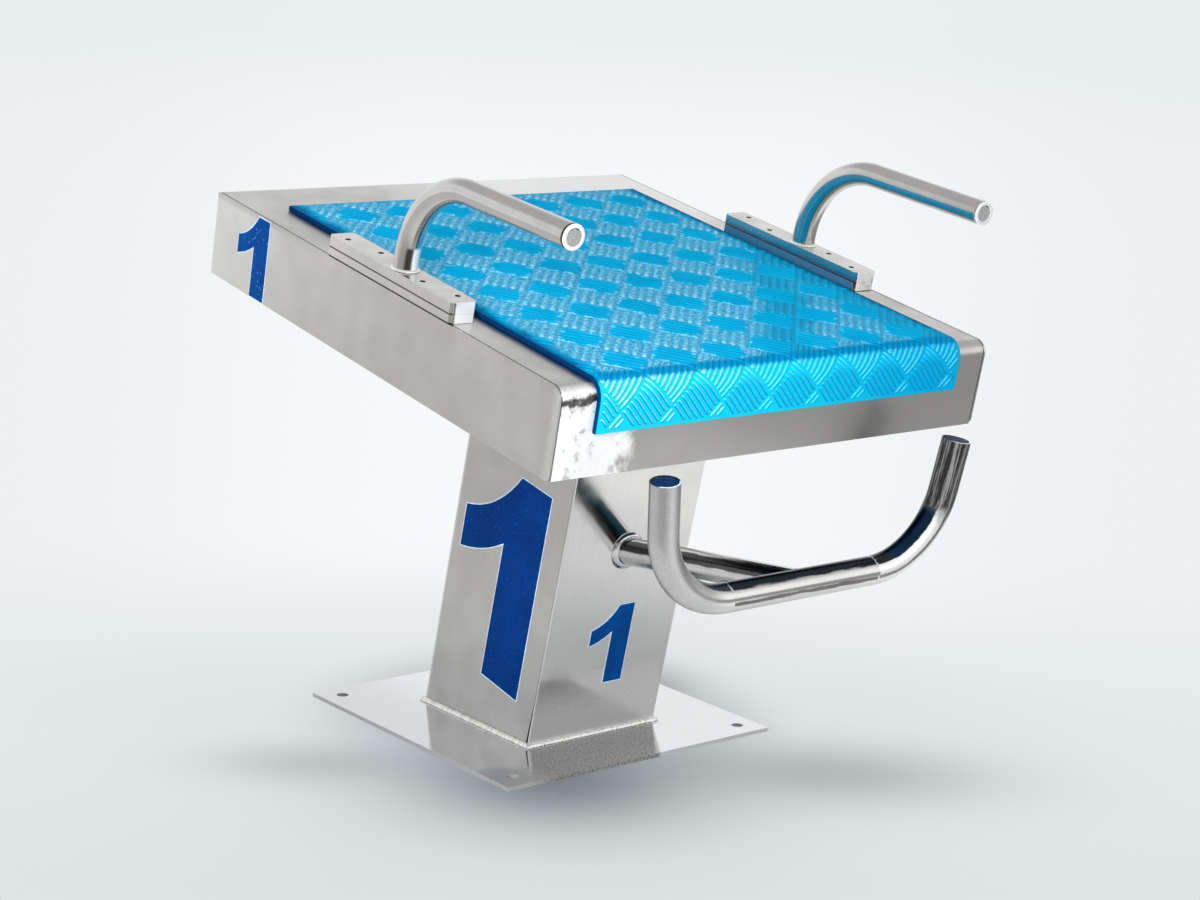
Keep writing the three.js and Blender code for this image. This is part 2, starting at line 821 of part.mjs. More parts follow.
// The numeral on the skirt's left side, trimmed at the skirt's lower edge.
function makeFrameNumber() {
  const rearSide = platformLength - frameNumberInset;
  const origin = new THREE.Vector3(-platformWidth * half, rearSide, -frameNumberTrim);
  const shape = numeral(frameNumberHeight, frameNumberTrim);
  return laidNumeral("number_frame", shape, origin, axisY.clone().negate(), axisZ);
}

// Everything that lies in the sloping platform's own frame.
function makePlatform() {
  const platform = new THREE.Group();
  platform.position.set(0, -frontEdgeReach, frontEdgeHeight);
  platform.rotation.x = platformSlope;
  platform.add(makeDeckSheet(), makeRearPlate(), ...sides.map(makeSidePlate));
  platform.add(makeHeadPlate(), ...sides.map(makeHeadGusset), ...makeCrossChannels());
  platform.add(makeTread(), makeFrameNumber());
  platform.add(...sides.map(makeGripFoot), ...sides.map(makeGripTube));
  return platform;
}

// The column's four sheets with their foot and numbers.
function makeColumn() {
  const column = new THREE.Group();
  column.add(makeColumnFace("column_front_sheet", -columnDepth * half, 1));
  column.add(makeColumnFace("column_rear_sheet", columnDepth * half, -1));
  column.add(...sides.map(makeColumnSide), ...makeColumnNumbers(), makeFootWeld());
  return column;
}

const block = new THREE.Group();
block.add(makeBasePlate(), makeColumn(), makePlatform(), ...makeBarSupport(), makeBackstrokeBar());

export default block;
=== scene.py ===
"""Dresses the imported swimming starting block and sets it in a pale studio.

Sizes are in millimetres and turn into Blender's metres where a mesh is made.
X runs across the lane, the pool lies towards -Y and Z points up.
"""

import json
import logging
import math
from collections.abc import Callable, Sequence
from dataclasses import dataclass, field, replace
from enum import Enum

import bmesh
import bpy
from mathutils import Matrix, Vector

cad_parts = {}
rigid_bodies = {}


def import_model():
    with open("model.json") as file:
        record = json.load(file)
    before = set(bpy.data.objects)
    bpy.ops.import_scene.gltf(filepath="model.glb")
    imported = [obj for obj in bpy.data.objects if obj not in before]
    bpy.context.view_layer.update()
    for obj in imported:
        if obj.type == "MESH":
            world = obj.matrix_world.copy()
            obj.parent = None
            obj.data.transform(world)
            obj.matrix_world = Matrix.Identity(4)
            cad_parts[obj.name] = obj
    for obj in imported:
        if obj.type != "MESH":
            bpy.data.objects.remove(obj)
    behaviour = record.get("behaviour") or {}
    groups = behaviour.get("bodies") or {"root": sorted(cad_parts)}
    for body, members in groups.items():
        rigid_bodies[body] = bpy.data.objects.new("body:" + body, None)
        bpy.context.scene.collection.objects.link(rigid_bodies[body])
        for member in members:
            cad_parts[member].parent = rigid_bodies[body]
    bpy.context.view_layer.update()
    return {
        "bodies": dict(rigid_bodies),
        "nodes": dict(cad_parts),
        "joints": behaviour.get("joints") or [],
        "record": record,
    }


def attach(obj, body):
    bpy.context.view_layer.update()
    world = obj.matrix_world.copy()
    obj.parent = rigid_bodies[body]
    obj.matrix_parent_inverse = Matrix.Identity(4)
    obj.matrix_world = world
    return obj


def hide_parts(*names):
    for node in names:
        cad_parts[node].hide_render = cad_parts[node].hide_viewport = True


MM = 0.001
FULL_TURN = 2 * math.pi
QUARTER = math.pi / 2
SHORTEST_RIB = 9
NUMERAL_WIDTH = 0.583
DECK_SLOPE = 10.5
COLUMN_LEAN = 12.65
TUBE_SIDES = 56
LOG = logging.getLogger("starting_block")

Colour = tuple[float, float, float]
Triple = tuple[float, float, float]
Pair = tuple[float, float]

AXIS_X = Vector((1, 0, 0))
AXIS_Y = Vector((0, 1, 0))
AXIS_Z = Vector((0, 0, 1))


class Slot(Enum):
    """The record's material slots."""

    SATIN = "satin_steel"
    POLISHED = "polished_steel"
    SCREW = "screw_steel"
    TREAD = "tread_blue"
    NUMBER = "number_blue"
    PLUG = "plug_blue"


class Course(Enum):
    """Which straightened place a finish follows, with its turn about X in degrees."""

    LEVEL = 0.0
    PLATFORM = -DECK_SLOPE
    COLUMN = -COLUMN_LEAN
    TUBE = None


class Places(Enum):
    """Which places of a piece have a finish of their own, named like the method that dresses them."""

    NONE = "none"
    FRAME = "frame"
    GRIP = "grip"
    SCREW = "screw"
    CAP = "cap"
    ARM = "arm"
    BASE = "base"
    BAR = "bar"
    TIP = "tip"
    FOOT = "foot"
    FACE = "face"
    SUPPORT = "support"


class Side(Enum):
    """The two sides of the block, with their sign along X."""

    LEFT = -1
    RIGHT = 1

    @property
    def word(self) -> str:
        """The side's name in lower case."""
        return self.name.lower()


@dataclass(frozen=True)
class Bench:
    """A working frame: its origin and where its three directions point."""

    origin: Vector
    across: Vector
    along: Vector
    up: Vector

    def at(self, x: float, y: float, z: float) -> Vector:
        """Returns the point at three distances from the bench's origin."""
        return self.origin + self.aim(x, y, z)

    def aim(self, x: float, y: float, z: float) -> Vector:
        """Returns a direction given in the bench's own directions."""
        return self.across * x + self.along * y + self.up * z


def tilted_bench(origin: Triple, degrees: float) -> Bench:
    """Makes a bench at an origin in millimetres, turned about X by some degrees.

    Args:
        origin: where it lies, in millimetres.
        degrees: how far it is turned.

    Returns:
        The bench.
    """
    turn = math.radians(degrees)
    along = Vector((0, math.cos(turn), math.sin(turn)))
    return Bench(Vector(origin), AXIS_X, along, AXIS_X.cross(along))


PLATFORM = tilted_bench((0, -391, 398.5), DECK_SLOPE)
COLUMN = tilted_bench((0, -104, 5), COLUMN_LEAN)
BAR = tilted_bench((0, -439, 265), 8)
PLATFORM_FACE = PLATFORM.origin.dot(PLATFORM.along) * MM
PLATFORM_LEVEL = PLATFORM.origin.dot(PLATFORM.up) * MM


def on_platform(along: float, level: float, across: float) -> Vector:
    """Returns a point of the platform's long section, at a distance across it."""
    return PLATFORM.at(across, along, level)


# Meshes


def arc(centre: Pair, reach: Pair, steps: int) -> list[Pair]:
    """Draws a quarter of an ellipse, from beside its centre to above it, by the signs of its reach."""
    angles = [QUARTER * i / steps for i in range(steps + 1)]
    return [(centre[0] + reach[0] * math.cos(a), centre[1] + reach[1] * math.sin(a)) for a in angles]


def spokes(side: Vector, other: Vector, count: int) -> list[tuple[Vector, Vector, float]]:
    """Returns directions all round, each with its straightened twin and its angle.

    Args:
        side: the first direction.
        other: the direction a quarter turn further.
        count: how many there are.

    Returns:
        The direction, its twin and the angle of each.
    """
    angles = [FULL_TURN * i / count for i in range(count)]
    turns = [(math.cos(a), math.sin(a), a) for a in angles]
    return [(side * cos + other * sin, Vector((cos, sin, 0)), angle) for cos, sin, angle in turns]


def finished(mesh: bpy.types.Mesh, made: bmesh.types.BMesh, sharp: float) -> bpy.types.Object:
    """Turns the faces outwards, smooths what is round and links the object.

    Args:
        mesh: the mesh to fill.
        made: its faces.
        sharp: the angle in degrees above which an edge stays sharp.

    Returns:
        The object, named like its mesh.
    """
    bmesh.ops.recalc_face_normals(made, faces=made.faces)
    made.to_mesh(mesh)
    made.free()
    mesh.shade_smooth()
    mesh.set_sharp_from_angle(angle=math.radians(sharp))
    piece = bpy.data.objects.new(mesh.name, mesh)
    bpy.context.scene.collection.objects.link(piece)
    return piece


@dataclass
class Stock:
    """Points and faces that are gathered before they become one mesh."""

    points: list[Vector] = field(default_factory=list)
    course: list[Vector] = field(default_factory=list)
    lift: list[float] = field(default_factory=list)
    pale: list[float] = field(default_factory=list)
    faces: list[tuple[int, ...]] = field(default_factory=list)

    def rows(
        self,
        rows: Sequence[Sequence[Vector]],
        course: Sequence[Sequence[Vector]] | None = None,
        lift: Sequence[Sequence[float]] | None = None,
        pale: Sequence[float] | None = None,
    ) -> list[list[int]]:
        """Adds rings of points and joins neighbouring rings with faces.

        Args:
            rows: the rings, each with as many points as the others.
            course: the straightened place of each point, or none for its own place.
            lift: how far each point is raised, from 0 to 1, or none.
            pale: how strongly glints are painted on the raised points of each ring, or none.

        Returns:
            The numbers of the points, ring by ring.
        """
        numbers = []
        for row_index, row in enumerate(rows):
            first = len(self.points)
            numbers.append(list(range(first, first + len(row))))
            self.points.extend(row)
            self.course.extend(course[row_index] if course else row)
            raised = lift[row_index] if lift else [0.0] * len(row)
            self.lift.extend(raised)
            self.pale.extend((pale[row_index] if pale else 0.0) * share for share in raised)
        for pair in zip(numbers, numbers[1:]):
            self._join(*pair)
        return numbers

    def _join(self, low: list[int], high: list[int]) -> None:
        """Joins two rings with faces."""
        after = zip(low[1:] + low[:1], high[1:] + high[:1])
        self.faces += [(a, b, d, c) for (a, c), (b, d) in zip(zip(low, high), after)]

    def solid(self, rows: Sequence[Sequence[Vector]], **more: Sequence) -> "Stock":
        """Adds rings of points and closes the first and the last with a face each.

        Args:
            rows: the rings.
            **more: what rows() takes besides.

        Returns:
            The same stock.
        """
        numbers = self.rows(rows, **more)
        self.faces += [tuple(numbers[0]), tuple(numbers[-1])]
        return self

    def loop(self, rows: Sequence[Sequence[Vector]], **more: Sequence) -> "Stock":
        """Adds rings of points and joins the last ring to the first.

        Args:
            rows: the rings.
            **more: what rows() takes besides.

        Returns:
            The same stock.
        """
        numbers = self.rows(rows, **more)
        self._join(numbers[-1], numbers[0])
        return self

    def piece(self, name: str, sharp: float = 32.0) -> bpy.types.Object:
        """Makes the object and keeps its sharp edges sharp.

        Args:
            name: the object's name.
            sharp: the angle in degrees above which an edge stays sharp.

        Returns:
            The object.
        """
        mesh = bpy.data.meshes.new(name)
        mesh.from_pydata([tuple(p * MM) for p in self.points], [], self.faces)
        course = [n for place in self.course for n in place * MM]
        for label, kind, key, values in (
            ("course", "FLOAT_VECTOR", "vector", course),
            ("lift", "FLOAT", "value", self.lift),
            ("pale", "FLOAT", "value", self.pale),
        ):
            mesh.attributes.new(label, kind, "POINT").data.foreach_set(key, values)
        made = bmesh.new()
        made.from_mesh(mesh)
        return finished(mesh, made, sharp)


def ease_edges(piece: bpy.types.Object, width: float, segments: int = 2) -> bpy.types.Object:
    """Rounds a piece's sharp edges a little.

    Args:
        piece: the object.
        width: the width of the rounding in millimetres.
        segments: how many faces the rounding has.

    Returns:
        The same object.
    """
    bevel = piece.modifiers.new("eased_edges", "BEVEL")
    bevel.width = width * MM
    bevel.segments = segments
    bevel.limit_method = "ANGLE"
    bevel.angle_limit = math.radians(30)
    bevel.harden_normals = True
    bevel.miter_outer = "MITER_ARC"
    return piece


def slab(
    name: str,
    loop: Sequence[Pair],
    place: Callable[[float, float, float], Vector],
    low: float,
    high: float,
) -> bpy.types.Object:
    """Makes a plate between two levels: place turns a pair of its outline and a level into a point."""
    return Stock().solid([[place(a, b, level) for a, b in loop] for level in (low, high)]).piece(name)


def refined(node: bpy.types.Object, name: str, width: float) -> bpy.types.Object:
    """Copies a CAD node into a clean mesh with eased edges.

    Args:
        node: the CAD node's object.
        name: the new object's name.
        width: the width of the eased edges in millimetres.

    Returns:
        The new object.
    """
    made = bmesh.new()
    made.from_mesh(node.data)
    bmesh.ops.remove_doubles(made, verts=made.verts, dist=2e-6)
    flat = math.radians(0.3)
    bmesh.ops.dissolve_limit(made, angle_limit=flat, verts=made.verts, edges=made.edges)
    return ease_edges(finished(bpy.data.meshes.new(name), made, 24), width)


@dataclass(frozen=True)
class Station:
    """A place along a run: the point, the direction and the distance from the start."""

    point: Vector
    aim: Vector
    gone: float


def straight_run(start: Vector, end: Vector, count: int = 8) -> list[Station]:
    """Makes the stations of a straight run from start to end.

    Args:
        start: its start.
        end: its end.
        count: how many steps it has.

    Returns:
        The stations.
    """
    aim = (end - start).normalized()
    length = (end - start).length
    return [Station(start.lerp(end, i / count), aim, length * i / count) for i in range(count + 1)]


def bent_run(start: Vector, corner: Vector, end: Vector, radius: float, bend_steps: int) -> list[Station]:
    """Makes the stations of a straight run, one round bend and a straight run.

    Args:
        start: where the run starts.
        corner: where the straight runs would meet.
        end: where the run ends.
        radius: the bend's radius.
        bend_steps: how many steps the bend has.

    Returns:
        The stations from start to end.
    """
    inward = (corner - start).normalized()
    outward = (end - corner).normalized()
    turn = inward.angle(outward)
    sideways = (outward - inward * math.cos(turn)).normalized()
    bend_start = corner - inward * radius * math.tan(turn / 2)
    centre = bend_start + sideways * radius
    stations = straight_run(start, bend_start, 4)
    gone = stations[-1].gone
    for i in range(1, bend_steps + 1):
        angle = turn * i / bend_steps
        cos, sin = math.cos(angle), math.sin(angle)
        point = centre - sideways * radius * cos + inward * radius * sin
        stations.append(Station(point, inward * cos + sideways * sin, gone + radius * angle))
    bent = stations[-1]
    last = straight_run(bent.point, end, 6)
    return stations + [Station(s.point, s.aim, s.gone + bent.gone) for s in last[1:]]


def pipe(
    name: str,
    run: Sequence[Station],
    side: Vector,
    radius: float,
    wall: float,
    eased: float = 0.4,
) -> bpy.types.Object:
    """Makes a tube with a wall and eased ends along a run that lies in one plane.

    Args:
        name: the object's name.
        run: the stations.
        side: the direction at right angles to the run's plane.
        radius: the outer radius.
        wall: the wall's thickness.
        eased: the easing of the outer edge at both ends.

    Returns:
        The object.
    """
    places = [(run[0], radius - eased, 0.0), (run[0], radius, eased)]
    places += [(s, radius, 0.0) for s in run[1:-1]]
    places += [(run[-1], radius, -eased), (run[-1], radius - eased, 0.0)]
    places += [(s, radius - wall, 0.0) for s in reversed(run)]
    rows, course = [], []
    for station, reach, shift in places:
        ways = spokes(side, station.aim.cross(side).normalized(), TUBE_SIDES)
        middle = station.point + station.aim * shift
        rows.append([middle + out * reach for out, _, _ in ways])
        course.append([flat * reach + AXIS_Z * (station.gone + shift) for _, flat, _ in ways])
    return Stock().loop(rows, course=course).piece(name)


def turned(name: str, profile: Sequence[Pair], tip: Station) -> bpy.types.Object:
    """Makes a turned solid whose two ends are flat.

    Args:
        name: the object's name.
        profile: pairs of radius and height, listed from the bottom up.
        tip: where the height is zero and which way it points.

    Returns:
        The object.
    """
    aim = tip.aim.normalized()
    side = aim.orthogonal().normalized()
    ways = spokes(side, aim.cross(side), TUBE_SIDES)
    rows = [[tip.point + aim * height + out * radius for out, _, _ in ways] for radius, height in profile]
    course = [[flat * radius + AXIS_Z * height for _, flat, _ in ways] for radius, height in profile]
    return Stock().solid(rows, course=course).piece(name)


@dataclass(frozen=True)
class WeldSeat:
    """A place on a weld's line: its corner and the two faces that it fills."""

    corner: Vector
    out: Vector
    up: Vector
    gone: float


def weld_bead(
    name: str, seats: Sequence[WeldSeat], leg: Pair, pitch: float, ripple: float
) -> bpy.types.Object:
    """Makes a closed weld bead with the ripples of its passes.

    Args:
        name: the object's name.
        seats: the places along the bead, once round.
        leg: the bead's reach outwards and upwards.
        pitch: the length of one ripple.
        ripple: how far the bead's size changes, as a share.

    Returns:
        The object.
    """
    rows = []
    for seat in seats:
        gone = seat.gone
        beat = math.pi * gone / pitch + 1.9 * math.sin(gone * 0.37) + math.sin(gone * 0.93)
        slow = math.sin(gone * 0.061) * math.sin(gone * 0.023 + 1.3)
        size = 1 - ripple + ripple * abs(math.sin(beat)) ** 0.6 + 0.3 * ripple * slow
        swell, bulge = 0.5 + 0.5 * size, 0.8 * size
        row = [seat.corner]
        for out, up in arc((0, 0), (1, 1), 6):
            a = out * leg[0] * (swell if up < 0.1 else bulge + 0.2 * out)
            b = up * leg[1] * (swell if out < 0.1 else bulge + 0.2 * up)
            row.append(seat.corner + seat.out * a + seat.up * b)
        rows.append(row)
    return Stock().loop(rows).piece(name, sharp=70)


# Finishes


@dataclass(frozen=True)
class Signal:
    """A value that flows between the nodes of one tree, with the sums that it takes part in."""

    desk: "NodeDesk"
    socket: bpy.types.NodeSocket

    def _calc(self, operation: str, first: "Value", second: "Value" = 0.0) -> "Signal":
        """Adds the node of one sum."""
        return self.desk.take("ShaderNodeMath", 0, first, second, operation=operation)

    def __add__(self, other: "Value") -> "Signal":
        """Adds a value."""
        return self._calc("ADD", self, other)

    def __mul__(self, other: "Value") -> "Signal":
        """Multiplies by a value."""
        return self._calc("MULTIPLY", self, other)

    def __sub__(self, other: "Value") -> "Signal":
        """Subtracts a value."""
        return self._calc("SUBTRACT", self, other)

    def __truediv__(self, other: "Value") -> "Signal":
        """Divides by a value."""
        return self._calc("DIVIDE", self, other)

    def __rsub__(self, other: float) -> "Signal":
        """Subtracts this from a number."""
        return self._calc("SUBTRACT", other, self)

    def __abs__(self) -> "Signal":
        """Drops the sign."""
        return self._calc("ABSOLUTE", self)

    __radd__ = __add__

    def at_least(self, other: "Value") -> "Signal":
        """Returns the larger of two values."""
        return self._calc("MAXIMUM", self, other)

    def beside(self, other: "Signal") -> "Signal":
        """Returns the length of the line whose reaches both ways are the two values."""
        return self._calc("SQRT", self * self + other * other)

    def from_whole(self) -> "Signal":
        """Returns how far the value lies from the nearest whole number."""
        return abs(self - self._calc("ROUND", self))

    def bell(self) -> "Signal":
        """Returns 1 for 0, falling off towards nothing like a bell for squares of a distance."""
        return self._calc("EXPONENT", self * -1.0)

    def remap(self, low: float, high: float, first: float, last: float) -> "Signal":
        """Stretches the span from low to high smoothly onto first to last."""
        feeds = (self, low, high, first, last)
        return self.desk.take("ShaderNodeMapRange", 0, *feeds, interpolation_type="SMOOTHSTEP")

    def grows(self, low: float, high: float, most: float = 1.0) -> "Signal":
        """Returns 0 up to low, and the most from high on."""
        return self.remap(low, high, 0.0, most)

    def falls(self, low: float, high: float, most: float = 1.0) -> "Signal":
        """Returns the most up to low, and 0 from high on."""
        return self.remap(low, high, most, 0.0)

    def near(self, middle: float, half_width: float) -> "Signal":
        """Returns 1 where the value lies at the middle, falling to 0 a half width away."""
        return abs(self - middle).falls(half_width * 0.4, half_width)

    def along(self, aim: "Triple | Signal") -> "Signal":
        """Measures a vector along a direction."""
        return self.desk.take("ShaderNodeVectorMath", "Value", self, aim, operation="DOT_PRODUCT")


Value = Signal | float | Colour


class NodeDesk:
    """Adds and links the nodes of one tree."""

    def __init__(self, tree: bpy.types.NodeTree) -> None:
        """Clears the tree."""
        self.tree = tree
        tree.nodes.clear()

    def add(self, kind: str, *feeds: Value, **named: object) -> bpy.types.Node:
        """Adds a node.

        Args:
            kind: the node's kind.
            *feeds: what goes into its first inputs, in order.
            **named: settings in lower case, and inputs with a capital and underscores for spaces.

        Returns:
            The node.
        """
        node = self.tree.nodes.new(kind)
        for key, value in named.items():
            if key[0].isupper():
                self.feed(node.inputs[key.replace("_", " ")], value)
            else:
                setattr(node, key, value)
        for socket, value in zip(node.inputs, feeds):
            self.feed(socket, value)
        return node

    def take(self, kind: str, output: str | int, *feeds: Value, **named: object) -> Signal:
        """Adds a node as above and returns one of its outputs."""
        return Signal(self, self.add(kind, *feeds, **named).outputs[output])

    def feed(self, socket: bpy.types.NodeSocket, value: Value) -> None:
        """Links a value's source to an input, or sets a plain value on it.

        Args:
            socket: the input.
            value: the value, or the signal that gives it.
        """
        if isinstance(value, Signal):
            self.tree.links.new(value.socket, socket)
        elif isinstance(value, tuple) and socket.type == "RGBA":
            socket.default_value = (*value, 1)
        else:
            socket.default_value = value

    def blend(self, share: Value, first: Value, second: Value) -> Signal:
        """Mixes two colours by a share.

        Args:
            share: the second colour's share.
            first: the first colour.
            second: the second colour.

        Returns:
            The mixed colour.
        """
        node = self.add("ShaderNodeMix", share, data_type="RGBA")
        self.feed(node.inputs[6], first)
        self.feed(node.inputs[7], second)
        return Signal(self, node.outputs[2])

    def mirror_rays(self) -> tuple[Signal, Signal]:
        """Returns whether a ray comes from the camera, and whether from a mirror or glass."""
        rays = self.add("ShaderNodeLightPath").outputs
        seen, glossy, glass = (
            Signal(self, rays[f"Is {word} Ray"]) for word in ("Camera", "Glossy", "Transmission")
        )
        return seen, glossy.at_least(glass)


class Recipe(NodeDesk):
    """Builds one node material around a Principled shader."""

    def __init__(self, name: str, course: Course) -> None:
        """Starts the material with its shader, its output and its place.

        Args:
            name: the material's name.
            course: where its place is measured from.
        """
        self.material = bpy.data.materials.new(name)
        self.material.use_nodes = True
        super().__init__(self.material.node_tree)
        self.shader = self.add("ShaderNodeBsdfPrincipled")
        self.output = self.add("ShaderNodeOutputMaterial", Signal(self, self.shader.outputs[0]))
        if course is Course.TUBE:
            self.place = self.take("ShaderNodeAttribute", "Vector", attribute_name="course")
        else:
            source = self.take("ShaderNodeTexCoord", "Object")
            turn = (math.radians(course.value), 0, 0)
            self.place = self.take("ShaderNodeMapping", 0, Vector=source, Rotation=turn)
        outputs = self.add("ShaderNodeSeparateXYZ", self.place).outputs
        self.x, self.y, self.z = (Signal(self, output) for output in outputs)

    def set(self, **values: Value) -> None:
        """Feeds the shader's inputs, named with underscores for spaces."""
        for key, value in values.items():
            self.feed(self.shader.inputs[key.replace("_", " ")], value)

    def noise(
        self, stretch: Triple | float, detail: float = 4.0, rough: float = 0.55, turn: Triple = (0, 0, 0)
    ) -> Signal:
        """Returns a noise from 0 to 1.

        Args:
            stretch: how many bumps it has per metre, in all or along each direction.
            detail: how many finer layers it has.
            rough: how strong the finer layers are.
            turn: a turn of its directions, in degrees.

        Returns:
            The noise's value.
        """
        scale = stretch if isinstance(stretch, tuple) else (stretch,) * 3
        angles = tuple(math.radians(t) for t in turn)
        place = self.take("ShaderNodeMapping", 0, Vector=self.place, Rotation=angles, Scale=scale)
        settings = {"Scale": 1.0, "Detail": detail, "Roughness": rough}
        return self.take("ShaderNodeTexNoise", "Fac", Vector=place, **settings)

    def bump(self, height: Signal, depth: float, after: Signal | None = None) -> Signal:
        """Raises the surface by a share of a depth in millimetres, after a coarser bump, if any."""
        coarser = {"Normal": after} if after else {}
        return self.take("ShaderNodeBump", "Normal", Distance=depth * MM, Height=height, **coarser)

    def edges(self, radius: float) -> Signal:
        """Returns 1 on the piece's outer edges and 0 on its flats."""
        bevel = self.take("ShaderNodeBevel", "Normal", samples=4, Radius=radius * MM)
        return (1.0 - bevel.along(self.normal())).grows(0.01, 0.12)

    def normal(self) -> Signal:
        """Returns which way the surface faces."""
        return self.take("ShaderNodeNewGeometry", "Normal")


def shade(colour: Colour, factor: float) -> Colour:
    """Makes a colour lighter or darker by a factor."""
    return tuple(min(1.0, c * factor) for c in colour)


class Tone(Enum):
    """The colours painted on places of the steel: painted highlights, painted shade and painted reflections,
    with a few tints and specks of the steel itself.
    """

    SHADED_FRONT = (0.20, 0.195, 0.19)
    PALE_REAR = (0.96, 0.96, 0.95)
    GLARE = (1.0, 1.0, 1.0)
    BURNISHED = (0.96, 0.96, 0.955)
    CORNER_RIM = (0.42, 0.415, 0.41)
    SMUDGE = (0.09, 0.085, 0.08)
    SEAM = (0.05, 0.048, 0.045)
    INSIDE = (0.11, 0.11, 0.115)
    BELOW_TREAD = (0.004, 0.17, 0.27)
    JOINT = (0.03, 0.028, 0.026)
    BESIDE_TREAD = (0.002, 0.14, 0.30)
    SCREW_RIM = (0.95, 0.94, 0.92)
    SOCKET = (0.015, 0.014, 0.013)
    BRIGHT = (0.96, 0.96, 0.96)
    DARK = (0.05, 0.05, 0.05)
    MOTTLED = (0.42, 0.42, 0.425)
    POLISHED = (0.76, 0.758, 0.75)
    DULL = (0.60, 0.60, 0.595)
    GRIT = (0.36, 0.355, 0.35)
    SHADY = (0.30, 0.30, 0.295)
    EDGE = (0.06, 0.06, 0.06)
    WEDGE = (0.015, 0.02, 0.03)
    RING = (0.05, 0.05, 0.055)
    TARNISH = (0.010, 0.018, 0.032)
    BAR_LINE = (0.15, 0.135, 0.13)
    HAZE = (0.93, 0.935, 0.94)
    ARM_LINE = (0.14, 0.135, 0.13)
    NAVY = (0.003, 0.035, 0.10)
    DRAWN = (0.25, 0.245, 0.24)
    MARKS = (0.03, 0.029, 0.028)
    WELD_STRIPE = (0.07, 0.063, 0.06)
    END_LINE = (0.02, 0.02, 0.02)
    DULL_FOOT = (0.62, 0.62, 0.615)
    UPPER_SIDE = (0.03, 0.03, 0.035)
    DULL_LEFT = (0.58, 0.60, 0.61)
    SMEAR = (0.16, 0.155, 0.15)
    CORNER_SPOT = (0.37, 0.37, 0.36)


